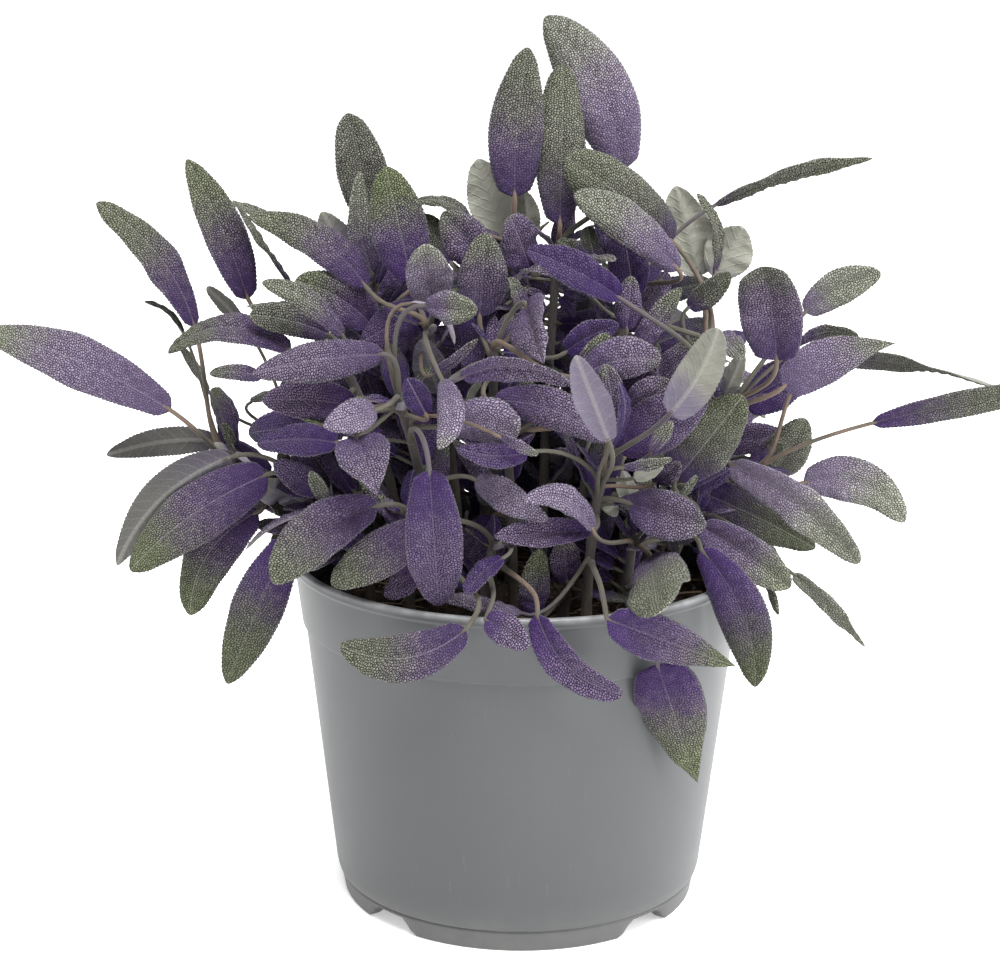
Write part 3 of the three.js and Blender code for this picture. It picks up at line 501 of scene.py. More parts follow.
def strip(points, width, thick):
    """A closed bent strip through the points, pointed at both ends."""
    points = np.asarray(points, float)
    ways = units(np.gradient(points, axis=0))
    across = units(np.cross(ways, (0, 0, 1.0)))
    ups = np.cross(across, ways)
    taper = np.sin(np.pi * np.linspace(0.12, 0.9, len(points))) ** 0.4
    turns = 2 * math.pi * np.arange(STRAW_SIDES) / STRAW_SIDES
    rings = [
        points + across * (np.cos(a) * width * taper)[:, None] + ups * (np.sin(a) * thick * taper)[:, None]
        for a in turns
    ]
    return np.stack(rings, axis=1).reshape(-1, 3), tube_faces(len(points), STRAW_SIDES)


dice = np.random.default_rng(77)
parts = []
for _ in range(STRAWS):
    length = dice.uniform(*STRAW_LENGTH)
    reach = (COMPOST_RADIUS - WALL_CLEARANCE - length / 2) * math.sqrt(dice.uniform(0, 1))
    bearing, heading = dice.uniform(0, 2 * math.pi, 2)
    bend, lean = drawn(dice, STRAW_BEND, STRAW_LEAN)
    line = []
    for share in np.linspace(-0.5, 0.5, STRAW_POINTS):
        x = reach * math.cos(bearing) + length * share * math.cos(heading + bend * share * 4)
        y = reach * math.sin(bearing) + length * share * math.sin(heading + bend * share * 4)
        bed = COMPOST_TOP + 1.1 + 2 * max(0, 1 - math.hypot(x, y) / COMPOST_RADIUS)
        bed = max(bed, compost_height(x, y) + CRUMB_CLEARANCE)
        line.append((x, y, bed + lean * length * (share + 0.5)))
    parts.append(strip(line, *drawn(dice, STRAW_HALF_WIDTH, STRAW_HALF_THICK)))

litter_paint, wire, shader = new_paint("straw_and_bark")
place = wire.place()
sorts = wire.noise(place, 45, 1, 0.3)
grain = wire.noise(place.stretched(2400, 2400, 500), 1, 3, 0.6)
dry = wire.node(
    "ShaderNodeValToRGB",
    {
        "stops": [
            (0.3, (0.035, 0.022, 0.014)),
            (0.5, (0.11, 0.07, 0.042)),
            (0.62, (0.29, 0.22, 0.14)),
            (0.8, (0.4, 0.33, 0.23)),
        ]
    },
    {0: sorts},
)
dry = (grain * 0.5).mix(dry, (0.06, 0.04, 0.025))
coat(
    shader,
    Base_Color=dry,
    Roughness=0.7 + 0.2 * grain,
    Specular_IOR_Level=0.3,
    Normal=grain.bump(0.6, 0.0002),
)
litter = new_piece("compost_litter", *joined(parts), [litter_paint])
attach(litter, "root")

# Shoots: squarish woody stems that rise out of the compost, each with its leaves in pairs at its nodes.
# A place given as (x, z, depth) is where the eye sees it on the upright plane through the pot's axis,
# and depth is how far it lies behind that plane. The stems come out of the compost at (x, y).
EYE = np.array([0, -672, 295.9])
ROOT_DEPTH = 11
STEM_HALF_FOOT = 1.6
STEM_HALF_TOP = 1.3
STEM_STEPS = 4
STEM_RISES = 0.5
STEM_LEANS = 0.75
STEM_STRAIGHTENS = 0.1
LEAFY_FROM = 0.4
LEAFY_TO = 0.99
NODES = 15
LEAVES_AT_NODE = 2
HOLE_GAP = 0.35
STEM_SIDES = 12
STEM_SQUARENESS = 0.86
STEM_STATIONS = 34
NODE_SWELL = 0.22
NODE_SWELL_REACH = 1.1
FOOT_FLARE = 0.25
FLARE_FADES = 9
BUD_TAPER = (0.95, 0.7, 0.12)

STALK_PAINT = 2
STEM_TINT = (0.15, 0, 1)

SHOOTS = [
    ("left_far", (-82, 126, -2), (-44, 2)),
    ("left_mid", (-60, 130, 8), (-38, 12)),
    ("left_top", (-43.5, 176, 0), (-27, 4)),
    ("left_inner", (-52, 158, -14), (-33, -7)),
    ("left_front", (-34.5, 144, -40), (-24, -24)),
    ("left_low", (-54, 112, -22), (-42, -16)),
    ("front_left", (-32, 111, -44), (-30, -34)),
    ("front_mid", (-8, 101, -42), (-10, -40)),
    ("front_stub", (14.5, 91.5, -30), (12, -29)),
    ("front_right", (32, 103, -38), (29, -33)),
    ("mid_right", (23, 124, -44), (18, -38)),
    ("centre_front", (-4, 132, -44), (-2, -31)),
    ("centre", (-8, 160, -34), (-8, -20)),
    ("centre_left", (-27, 166, -26), (-17, -12)),
    ("top_left", (-14, 178, -10), (-10, -3)),
    ("top_centre", (-3.5, 188, 0), (-3, 6)),
    ("top_right", (9.5, 188, 0), (6, -3)),
    ("upper_right", (30, 176, -12), (16, -10)),
    ("right_inner", (52, 160, -14), (28, -10)),
    ("right_mid", (58.5, 143, -10), (38, -8)),
    ("right_far", (68, 126, -4), (42, 3)),
    ("right_low", (50, 112, -20), (40, -20)),
    ("back_left_low", (-50, 118, 34), (-34, 24)),
    ("back_left", (-32, 150, 38), (-22, 19)),
    ("back_low_left", (-18, 120, 54), (-14, 38)),
    ("back_top", (-8, 168, 24), (-7, 17)),
    ("back_mid", (8, 146, 48), (5, 31)),
    ("back_low_right", (24, 118, 54), (20, 38)),
    ("back_right", (34, 152, 34), (23, 17)),
    ("back_right_low", (54, 120, 32), (36, 22)),
    ("back_centre", (18, 160, 16), (13, 7)),
]


def seen(place):
    """The point that the eye sees at x, z on the upright plane, lying that deep behind it."""
    x, z, depth = place
    on_plane = np.array([x, 0, z], float)
    return on_plane + (EYE - on_plane) * (depth / EYE[1])


def bezier(controls, shares):
    """The points of a Bezier curve at the shares of its way."""
    shares = np.asarray(shares, float)[:, None]
    points = [np.asarray(control, float) + 0 * shares for control in controls]
    while len(points) > 1:
        points = [a + (b - a) * shares for a, b in zip(points, points[1:])]
    return points[0]


def stem_controls(tip, root):
    """The stem rises out of its hole and then leans towards its tip."""
    end = seen(tip)
    foot = np.array([*root, COMPOST_TOP + COMPOST_MOUND + HOLE_GAP], float)
    rise = np.array([0, 0, end[2] - foot[2]])
    return [foot, foot + STEM_RISES * rise, foot + STEM_LEANS * (end - foot) + STEM_STRAIGHTENS * rise, end]


class Shoot:
    """A stem: its run, in a few straight pieces, and the nodes along it that bear the leaves."""

    def __init__(self, name, tip, root):
        self.name = name
        self.controls = stem_controls(tip, root)
        self.points = bezier(self.controls, np.linspace(0, 1, STEM_STEPS + 1))
        self.run = np.linalg.norm(np.diff(self.points, axis=0), axis=1)
        self.nodes = []
        for i in range(NODES):
            share = LEAFY_FROM + (LEAFY_TO - LEAFY_FROM) * i / (NODES - 1)
            self.nodes.append({**self.node_at(share), "share": share, "leaves": 0})
        self.parts = []

    def piece_at(self, share):
        reach = share * self.run.sum()
        piece = min(int(np.searchsorted(np.cumsum(self.run), reach)), STEM_STEPS - 1)
        return piece, (reach - self.run[:piece].sum()) / self.run[piece]

    def at(self, share):
        piece, rest = self.piece_at(share)
        return self.points[piece] + rest * (self.points[piece + 1] - self.points[piece])

    def along(self, share):
        piece, _ = self.piece_at(share)
        return unit(self.points[piece + 1] - self.points[piece])

    def node_at(self, share):
        return {"at": self.at(share), "along": self.along(share)}

    def nearest_node(self, place):
        free = [node for node in self.nodes if node["leaves"] < LEAVES_AT_NODE]
        return min(free, key=lambda node: np.linalg.norm(node["at"] - place), default=None)


shoots = [Shoot(*row) for row in SHOOTS]


def squared(ups, ways):
    """The upward ways, turned square to the ways that they stand on."""
    return units(ups - ways * np.sum(ups * ways, axis=1)[:, None])


def tube(points, ups, radii, shape, label):
    """A closed tube, as wide at each point and turn as its radii times its shape, from its right side."""
    ways = units(np.gradient(points, axis=0))
    ups = squared(ups, ways)
    across = np.cross(ways, ups)
    sides = len(shape)
    turns = 2 * math.pi * np.arange(sides) / sides
    reach = radii[:, None] * shape[None, :]
    rings = (
        points[:, None]
        + across[:, None] * (reach * np.cos(turns))[..., None]
        + ups[:, None] * (reach * np.sin(turns))[..., None]
    )
    count = len(points)
    faces = tube_faces(count, sides)
    run = np.concatenate([[0], np.cumsum(np.linalg.norm(np.diff(points, axis=0), axis=1))])
    columns = [np.tile(turns * radii.mean(), count), np.repeat(run, sides), np.repeat(run / run[-1], sides)]
    return {
        "vertices": rings.reshape(-1, 3),
        "faces": faces,
        "paint": [STALK_PAINT] * len(faces),
        "place": np.stack(columns, axis=1),
        "tint": np.tile(label, (count * sides, 1)),
    }


stem_turns = 2 * math.pi * np.arange(STEM_SIDES) / STEM_SIDES
squarish = STEM_SQUARENESS * (1 / (np.cos(stem_turns) ** 4 + np.sin(stem_turns) ** 4) ** 0.25)


def stem_part(shoot):
    """The stem, from its root in the compost to its tip, swollen at the nodes that bear leaves."""
    shares = np.linspace(0, 1, STEM_STATIONS)
    above = bezier(shoot.controls, shares)
    root = above[0] * (1, 1, 0) + np.array([0, 0, COMPOST_TOP - ROOT_DEPTH])
    points = np.concatenate([[root], above])
    radii = STEM_HALF_FOOT + (STEM_HALF_TOP - STEM_HALF_FOOT) * shares
    for node in shoot.nodes:
        if node["leaves"]:
            off = (shares - node["share"]) * shoot.run.sum() / NODE_SWELL_REACH
            radii = radii + NODE_SWELL * np.exp(-(off**2))
    radii = radii + FOOT_FLARE * np.exp(-shares * FLARE_FADES)
    radii[-len(BUD_TAPER) :] *= BUD_TAPER
    radii = np.concatenate([[radii[0]], radii])
    ups = np.tile(np.array([0, -1.0, 0]), (len(points), 1))
    return tube(points, ups, radii, squarish, STEM_TINT)


# Leaves: soft oval blades with finely scalloped margins on long stalks. Hairs and a net of fine veins
# make the upper side pebbled and the under side pale. Each is purple towards the stalk, green at the tip.
# A row gives the blade's base and tip as seen, its width, the degrees by which it is turned about its
# length, and its colour: the share of its length at which green begins, how light it is from -1 to 1, and
# how grey from 0 to 1. How light a leaf is is partly its own tone and partly painted light and shade, set
# leaf by leaf: darker for leaves that lie in shade, paler for leaves that lie in the light. What sets a
# leaf
# apart follows: a bow to one side, a bulge to the front, a twist, a point that its stalk arches over, how
# pink its stalk is, and a form of its own.
LEAVES = [
    # Hanging over the front rim
    ((0.5, 81.5, -54), (-25.5, 86.5, -50), 8, 66, (1.2, 0.45, 0.5), {"bow": 1.5}),
    ((-15.5, 76.5, -72), (-52.5, 71.5, -62), 13.5, 10, (0.5, 0.1, 0.45),
     {"bow": -5.5, "over": (-9, 86, -63)}),
    ((-10, 79.5, -72), (2, 70.5, -75), 9, 15, (1.2, 0.1, 0.2), {"bow": -1, "over": (-7, 87, -62)}),
    ((5, 81, -70), (30, 57.5, -70), 10, 20, (1.2, -0.2, 0), {"bow": 4.5, "over": (5, 88, -62)}),
    ((25, 80, -76), (62.5, 66, -54), 13.5, 5, (0.68, -0.2, 0.1),
     {"widest": 0.8, "pointed": 0.7, "over": (23, 91, -63)}),
    ((39.8, 66.5, -61), (52.5, 28, -49), 20, 5, (0.42, 0, 0.1),
     {"over": (38, 89, -60), "widest": 0.72, "pointed": 0.85}),
    ((37, 99, -42), (39, 84, -88), 19, 0, (0.25, 0.25, 0.3)),
    # Far left
    ((-99, 140.5, -8), (-151, 163, 0), 15.5, 12, (0.78, 0.4, 0.1), {"bow": 2.5, "stalk": 0.9}),
    ((-91.5, 164.5, 6), (-118, 198.5, 4), 12, 35, (0.5, 0, 0.35), {"bow": 4.5}),
    ((-94.5, 162.5, 12), (-105, 172.3, 12), 4, 70, (0, -0.4, 0.6), {"bow": 1.5}),
    ((-76.5, 172.5, 10), (-92, 211, 6), 13.5, 15, (0.5, 0.05, 0.25), {"bow": 1, "stalk": 0.9}),
    ((-78, 165.5, 16), (-88, 175.5, 18), 5, 150, (0.3, -0.5, 0.5), {"bow": 0.5}),
    ((-84.5, 131.5, 4), (-117, 127, 6), 8.5, 150, (0.2, -0.6, 0.4), {"twist": 40, "bow": 2}),
    ((-88, 146, 8), (-96, 161, 10), 5, 60, (0, 0.4, 0.5)),
    ((-81.5, 130, 2), (-84, 137, 2), 3.5, 20, (0, 0.1, 0.5)),
    ((-65, 158, -14), (-101, 158.5, -6), 11, 35, (0.55, 0.15, 0.4), {"bow": 6}),
    ((-73, 150, -16), (-88, 151.5, -14), 5.5, 30, (0.6, 0.1, 0.6), {"bow": 1}),
    ((-76, 143, -8), (-69.5, 146, -14), 4, 30, (0, 0.3, 0.4)),
    ((-80, 128, 6), (-72, 120.5, -6), 6, 60, (0.8, 0, 0.5)),
    # Low left, over the rim
    ((-72, 122, -22), (-113, 93, -18), 17.5, 5, (0.6, 0.05, 0.2), {"bow": 2.5}),
    ((-82, 127, -10), (-115.5, 94.5, -6), 13, 165, (0.35, -0.6, 0.5), {"bow": 5}),
    ((-75, 111, -14), (-95.5, 79.5, -12), 15, 10, (0.55, -0.15, 0.2), {"bow": 5}),
    ((-66.5, 103, -40), (-85.5, 58.5, -44), 15.5, 8, (0.45, -0.3, 0.15), {"over": (-58, 106, -34)}),
    ((-41, 113, -52), (-70.5, 89.5, -54), 16, 10, (0.6, 0.1, 0.4), {"bow": 3.5}),
    ((-52, 111.5, -42), (-79.5, 100.5, -34), 6, 72, (0.9, 0.1, 0.3), {"bow": 3}),
    ((-27, 107, -54), (-54.5, 89.5, -54), 13, 5, (0.55, 0.05, 0.4)),
    ((-30, 95.5, -48), (-39, 86.5, -50), 8, 20, (1.2, -0.1, 0), {"bow": -1}),
    ((-57, 117, -18), (-72, 122, -10), 9, 10, (1.1, -0.4, 0.1)),
    ((-57, 116.5, -28), (-70, 126, -24), 9, 20, (1.1, -0.3, 0.1)),
    ((-55, 114, -34), (-59.5, 123, -36), 5, 20, (0.2, 1, 0.5)),
    ((-66, 109, -6), (-71.5, 114, -10), 5, 20, (0.2, -0.3, 0.8)),
    # Left of the middle
    ((-39, 157, -42), (-75.5, 151, -38), 12, 8, (1.2, 0.2, 0.45), {"bow": 1}),
    ((-47, 142, -34), (-73, 143.5, -30), 12, 5, (1.2, -0.05, 0.1), {"bow": 1}),
    ((-52, 131.5, -46), (-75, 131, -40), 9.5, 20, (1.1, -0.5, 0.1), {"bow": 1}),
    ((-55, 137.5, -24), (-77, 134, -18), 11, 10, (1, -0.5, 0.3)),
    ((-41, 141, -56), (-55.8, 136, -60), 10, 15, (1.2, 0.55, 0.5)),
    ((-46.5, 133, -58), (-41, 116.5, -70), 15, 5, (1.2, 0.15, 0.5), {"widest": 0.7, "pointed": 0.8}),
    ((-27, 140, -50), (-32, 149.8, -54), 7.5, 20, (1.2, -0.6, 0.1)),
    ((-50, 162, -20), (-72.5, 177, -24), 8, 40, (0.4, 0.3, 0.4), {"bow": 3}),
    ((-42, 165, -8), (-63, 177.5, -12), 14, 10, (0.6, -0.05, 0.3), {"bow": 2}),
    ((-60, 170, 4), (-77, 170.5, 2), 5, 75, (0, 0.35, 0.4), {"bow": 0.5}),
    ((-54, 162.5, -4), (-76, 168, -8), 9.5, 20, (0.4, 0.1, 0.6), {"bow": 1}),
    # Upper left
    ((-43.5, 176, -8), (-76, 195.5, -2), 12, 20, (0.5, 0.05, 0.35), {"bow": 4.5}),
    ((-64, 176, 10), (-80, 200, 12), 7, 80, (0.2, 0, 0.5)),
    ((-66, 193, 6), (-81, 200.5, 10), 6, 60, (0, 0.3, 0.4)),
    ((-40, 190, 12), (-48.5, 224, 10), 14.5, 8, (-0.3, -0.05, 0.6)),
    ((-42, 180, 2), (-44.5, 208, 4), 9, 25, (0.45, 0.35, 0.5), {"bow": -2}),
    ((-46, 177.5, 14), (-55.5, 197, 16), 10.5, 170, (0.8, -0.2, 0.5)),
    ((-31, 178, -14), (-38, 209.5, -10), 16.5, 5, (0.5, -0.2, 0.1)),
    ((-25, 170.5, -30), (-27, 188.5, -42), 13, 0, (0.75, 1, 0.45)),
    ((-31, 171.5, -38), (-18.5, 160, -46), 7, 60, (1.1, 0.4, 0.5), {"bow": -3.5}),
    ((-27, 170, -26), (-45.5, 160.5, -26), 13, 10, (1.2, -0.4, 0)),
    ((-27, 171, -40), (-12.5, 170, -46), 9.5, 10, (0.45, 0.4, 0.3)),
    ((-14, 194, -8), (-30, 199.5, -10), 7, 60, (0.1, -0.1, 0.5), {"bow": 3}),
    ((-9, 181, -18), (-22, 197, -20), 13, 15, (0.8, 0, 0.3)),
    ((-20, 183, -4), (-27.5, 196.5, -4), 9, 10, (0.3, -0.3, 0.3)),
    # Top
    ((-2.5, 201.5, -4), (0.8, 242, -2), 16, 4, (0.5, -0.15, 0.5), {"bow": -1, "stalk": 0.9}),
    ((-4, 189, 10), (-12.5, 212, 8), 13, 178, (0, 0.9, 0.4), {"bow": -1}),
    ((1, 188, 14), (0, 203.5, 12), 9, 178, (0, 0.9, 0.4)),
    ((10, 194, -6), (10.5, 238, 2), 14.5, 8, (0.25, 0, 0.45), {"stalk": 0.9}),
    ((27, 209.5, 6), (5.3, 250.3, 10), 20, 8, (0.62, 0.35, 0.6), {"bow": 4}),
    ((41, 189.5, -4), (11, 212.5, -8), 18, 15, (0.1, -0.05, 0.4), {"bow": 1}),
    ((43, 181.5, -24), (14.5, 202.5, -30), 12, 40, (0.5, 0.35, 0.55), {"bow": 2.5, "stalk": 0.9}),
    ((2, 181, -16), (-3, 195.5, -26), 13, 10, (1.1, -0.1, 0.1)),
    ((18, 183.5, -10), (9.5, 189.5, -12), 7, 30, (0.4, -0.4, 0.3)),
    ((20, 183, -4), (17.5, 193.5, -2), 7.5, 20, (0.3, -0.6, 0.5)),
    ((30, 182, -14), (20, 199, -16), 10, 20, (1.1, -0.35, 0.1)),
    ((31, 174, -20), (27, 195, -16), 12, 10, (1.1, -0.5, 0.1)),
    # Upper right
    ((52.5, 199.5, 6), (95.5, 211, 10), 8.5, 62, (0, -0.15, 0.3), {"bow": -3}),
    ((49, 180, 14), (41.5, 205, 12), 15, 178, (0, 0.4, 0.3)),
    ((53, 179.5, 10), (60.5, 194, 8), 15, 178, (0.15, 0.4, 0.3)),
    ((53, 181, 0), (48, 203, -4), 6, 65, (0.1, 0.1, 0.4), {"bow": 3}),
    ((46, 171, -14), (57.5, 180.5, -14), 8, 20, (0.2, -0.3, 0.4)),
    ((32, 159, -28), (44, 176.5, -26), 8, 30, (0.6, 0.1, 0.4)),
    ((71, 156.5, -24), (66, 183, -30), 17, 0, (0.85, 0.1, 0.35),
     {"bow": 0.7, "widest": 1.2, "pointed": -0.1, "full": 0.5, "stalk": 0.9}),
    ((78.5, 170, 0), (99, 181, 2), 11, 20, (0.2, 0.5, 0.3), {"bow": -2}),
    ((73, 148.5, -14), (104, 161.5, -10), 14, 15, (0.7, 0.35, 0.35),
     {"bow": -2.5, "widest": 0.8, "pointed": 0.9}),
    ((76, 160, 0), (93.5, 162.8, 2), 6, 60, (0.4, -0.2, 0.4), {"bow": -3}),
    ((85.5, 156.5, 0), (134.5, 147, 2), 8.5, 30, (0.15, -0.3, 0.35),
     {"twist": 90, "bow": -3, "stalk": 0.9}),
    ((62, 144, -4), (86.5, 159, 4), 15, 20, (1.2, -0.4, 0.1)),
    # Low right
    ((98.5, 138.5, -6), (152, 148.6, -6), 9, 25, (0.3, -0.2, 0.35), {"bow": -1, "stalk": 0.9}),
    ((72, 124, 8), (80, 139.5, 10), 14, 15, (0, 0.4, 0.3)),
    ((59, 126.5, -20), (96.5, 97, -16), 13, 30, (0.5, 0.9, 0.2), {"bow": -3}),
    ((48, 119, -12), (84.5, 101, -4), 14, 10, (0.35, -0.4, 0.2), {"bow": -1}),
    ((80, 121, -2), (109, 109.5, 0), 13.5, 12, (0.45, 0.8, 0.1), {"bow": -6, "pointed": 0.05}),
    ((51.5, 101, -34), (68.5, 58.5, -30), 14.5, 8, (0.6, -0.35, 0.1),
     {"widest": 1.15, "pointed": 0.1, "bow": -4, "over": (50, 106, -30)}),
    ((51, 108, -28), (77.5, 89, -26), 13, 12, (0.6, 0.35, 0.15), {"bow": -1}),
    ((70, 93, -22), (73.5, 81.5, -24), 4, 60, (0, 0.2, 0.3)),
    ((78, 94, -16), (99.5, 72.5, -18), 6.5, 20, (-0.3, 0.6, 0), {"twist": 60, "bow": -1, "full": 0.7}),
    # Right of the middle
    ((41.5, 140.5, -58), (54.5, 165.5, -62), 12, 175, (0.4, -0.27, 0.1), {"bow": 1.5}),
    ((27, 130, -44), (52, 146, -50), 16, 5, (1.2, -0.25, 0.1)),
    ((44, 122, -30), (62, 145.5, -36), 17.5, 5, (0.25, -0.2, 0.3)),
    ((29, 141, -44), (42.5, 149.5, -46), 11, 10, (0.9, 0, 0.4)),
    ((57, 146, -30), (62, 158.5, -34), 6.5, 170, (0.3, -0.3, 0.5)),
    ((36.5, 129.5, -54), (42.3, 138.7, -60), 4.5, 20, (0.4, 0.3, 0.5)),
    ((29, 125, -50), (42.5, 127, -54), 4.5, 45, (0.4, 0.25, 0.5)),
    ((32, 122, -52), (40.5, 125.7, -58), 4.5, 175, (0, 0.1, 0.4)),
    ((38, 120.5, -40), (44.8, 126.5, -46), 6, 20, (1, -0.1, 0.3)),
    ((45, 116, -42), (49.8, 122.7, -46), 4, 60, (0, 0.2, 0.4)),
    ((47, 118, -24), (59, 124.5, -28), 8, 20, (1.2, -0.5, 0.1)),
    ((19, 152.5, -52), (38.5, 155.5, -54), 12, 10, (1, 0.2, 0.4), {"bow": -2}),
    ((12, 158, -42), (27, 165.7, -40), 9, 20, (1.2, -0.5, 0), {"bow": -1}),
    ((17, 149.5, -48), (24, 163.5, -46), 9, 15, (0.5, 0, 0.3)),
    ((29, 164.5, -34), (30, 179.8, -34), 7.5, 15, (0.9, -0.2, 0.3)),
    # Middle
    ((1, 171, -44), (5.5, 155, -66), 16, 0, (1.2, 0.3, 0.35), {"widest": 0.7, "pointed": 0.8}),
    ((0, 170.5, -36), (-3.5, 179, -40), 6.5, 30, (0.5, 0.2, 0.5), {"twist": 60}),
    ((20, 173, -20), (-1, 180.5, -14), 6, 72, (0.9, -0.1, 0.4), {"bow": 3}),
    ((27, 173.5, -28), (1, 186.5, -24), 10.5, 20, (1.2, -0.5, 0.1), {"bow": 1}),
    ((-12, 168, -30), (-10.5, 191, -34), 14, 8, (0.7, 0.1, 0.55)),
    ((-13.5, 170, -38), (-14.5, 152.5, -50), 11, 10, (1.2, -0.4, 0.05)),
    ((-25, 151.5, -46), (-12.5, 160.5, -54), 4, 65, (0.9, 0.2, 0.4)),
    ((-22.5, 150, -60), (-23.5, 129.8, -70), 8, 10, (0.9, 0.5, 0.5), {"bow": -2.5}),
    ((-20, 137, -48), (-1.5, 134, -54), 13, 10, (1.1, 0.45, 0.15), {"bow": -2}),
    ((-6, 133.5, -58), (4.3, 128, -62), 4, 40, (0.8, 0.3, 0.4)),
    ((1.5, 129, -50), (-18, 130.5, -56), 7.5, 20, (1.2, -0.4, 0.1), {"bow": -1.5}),
    ((-17, 150.5, -52), (13, 148, -62), 8.5, 35, (1.2, 0.2, 0.3), {"bow": -4}),
    ((-8, 144, -50), (23.5, 132.3, -62), 11.5, 15, (1.2, 0.15, 0.2), {"bow": -3}),
    ((24.5, 133, -52), (15, 157.3, -66), 9.5, 172, (1.1, -0.24, 0)),
    ((25, 136, -46), (23, 154.5, -50), 7.5, 15, (0.9, -0.1, 0.5), {"bow": 1}),
    ((25.5, 131, -42), (28, 149.5, -44), 6, 70, (1.2, -0.6, 0.3), {"bow": 2}),
    # Front, above the rim
    ((-26, 123.5, -62), (-23.5, 84.5, -54), 16, 0, (1.2, -0.3, 0.2),
     {"bulge": 4, "widest": 1.15, "pointed": 0.2, "full": 0.75, "stalk": 0.02}),
    ((-8, 110, -44), (-18.5, 92, -46), 13, 15, (1.2, -0.25, 0)),
    ((-5, 98, -44), (-15.5, 87, -50), 6.5, 30, (1.2, -0.5, 0), {"bow": 1}),
    ((4, 80.5, -54), (5, 101, -60), 10.5, 5, (0.5, -0.05, 0.15)),
    ((13.5, 91, -40), (12, 104, -44), 9.5, 10, (0.85, 0, 0.1)),
    ((20, 106.5, -40), (-7.5, 104, -46), 9, 15, (1.2, -0.1, 0.1)),
    ((20.5, 106.5, -50), (1, 115, -58), 8, 35, (1.2, 0.5, 0.3), {"bow": 4.5}),
    ((-13, 121, -48), (7, 109, -58), 9.5, 15, (1.1, 0.6, 0.2)),
    ((19.5, 125, -40), (27, 110, -54), 6.5, 170, (0.1, 0.7, 0.3)),
    ((28.5, 124, -40), (32, 110.5, -54), 6.5, 170, (0.1, 0.3, 0.3)),
    ((31, 114.5, -44), (52.5, 108, -52), 14, 10, (1, 0.1, 0.45)),
    ((39, 103, -44), (31, 107.5, -52), 7, 20, (0.3, 0.9, 0.5)),
]

PETIOLE_ALONG_STEM = 0.25
PETIOLE_ALONG_BLADE = 0.4
LONG_PETIOLE = 30
LARGE_BLADE = 13.5
LARGE_BLADE_STEPS = 4
SMALL_BLADE_STEPS = 3


def blade_controls(leaf):
    """The blade's middle line, an arc bowed to one side and bulged towards the way that it faces."""
    along = unit(leaf["tip"] - leaf["base"])
    towards = unit(leaf["facing"] - along * np.dot(leaf["facing"], along))
    across = np.cross(along, towards)
    half = (leaf["base"] + leaf["tip"]) / 2
    bend = half + across * 2 * leaf.get("bow", 0) + towards * 2 * leaf.get("bulge", 0)
    return [leaf["base"], bend, leaf["tip"]]


def petiole_controls(leaf, node, blade):
    """The stalk leaves the shoot along it and runs straight into the blade, or arches through over."""
    length = np.linalg.norm(node["at"] - leaf["base"])
    low = node["at"] + node["along"] * PETIOLE_ALONG_STEM * length
    high = leaf["base"] - unit(blade[1] - blade[0]) * PETIOLE_ALONG_BLADE * length
    if leaf.get("over") is not None:
        low = high = leaf["over"]
    return [node["at"], low, high, leaf["base"]]


def blade_steps(leaf):
    """In how many straight pieces the plain form of the blade runs."""
    return LARGE_BLADE_STEPS if leaf["width"] >= LARGE_BLADE else SMALL_BLADE_STEPS


def swung(vector, start, end):
    """The vector turned as the shortest turn from start to end turns it."""
    axis = np.cross(start, end)
    once = np.cross(axis, vector)
    return vector + once + np.cross(axis, once) / (1 + np.dot(start, end))


def turned_about(vectors, axes, angles):
    """Each vector turned about its axis, which it is square to."""
    cos, sin = np.cos(angles)[:, None], np.sin(angles)[:, None]
    return vectors * cos + np.cross(axes, vectors) * sin


def blade_ups(leaf, petiole, blade):
    """The upward way at the blade's stations, set at its foot and carried on from there."""
    stalk = bezier(petiole, np.linspace(0, 1, 60))
    long = sum(np.linalg.norm(np.diff(stalk, axis=0), axis=1)) > LONG_PETIOLE
    petiole_steps = 3 if leaf.get("over") is not None or long else 2
    before = bezier(petiole, np.linspace(0, 1, petiole_steps + 1))[-2]
    points = bezier(blade, np.linspace(0, 1, blade_steps(leaf) + 1))
    pieces = [unit(points[0] - before), *[unit(b - a) for a, b in zip(points, points[1:])]]
    ways = [unit(a + b) for a, b in zip(pieces, pieces[1:])] + [pieces[-1]]
    facing = unit(leaf["facing"] - ways[0] * np.dot(leaf["facing"], ways[0]))
    turn = np.array([math.radians(leaf.get("turn", 0))])
    ups = [turned_about(facing[None], ways[0][None], turn)[0]]
    for start, end in zip(ways, ways[1:]):
        ups.append(swung(ups[-1], start, end))
    return np.array(ups)


BLADE_ENDS = 0.06
BLADE_FULLNESS = 0.62
BLADE_TAPER = 0.3
TOOTH = 1.15
TOOTH_DEPTH = 0.32
BLADE_HALF_THICK = 0.24
CUP = (0.05, 0.55)
ROLL = (0.15, 0.5)
WAVE = (0.035, 0.085)
WAVES = 9
WAVE_LAG = 2.1
RIPPLE = 0.4
RIPPLES_PER_WAVE = 2.6
WIDEST = (0.85, 1.2)
POINTED = (-0.1, 0.3)
FULL = (0.72, 1.05)
TIP_CURL = (-0.08, 0.03)
RIB_HALF_WIDTH = 0.55
RIB_FADES = 0.75
RIB_GROOVE = 0.35
RIB_RIDGE = 0.6
VEIN_PITCH = 3.3
VEIN_LEAN = 0.95
QUILT = 0.28
UNDER_QUILT = 0.45
TIP_ROUND = 0.1
FOOT_ROUND = 0.05
FOOT_NARROWS = 0.75
UPPER_COLUMNS = np.array([-1, -0.95, -0.78, -0.55, -0.33, -0.13, 0, 0.13, 0.33, 0.55, 0.78, 0.95, 1])
UNDER_COLUMNS = np.array([0.92, 0.55, 0.16, 0, -0.16, -0.55, -0.92])
FINE = (3, UPPER_COLUMNS, UNDER_COLUMNS, 1)
PLAIN = (2, UPPER_COLUMNS, UNDER_COLUMNS, 1)
SMALL = (2, UPPER_COLUMNS[::2], UNDER_COLUMNS[::2], 2)
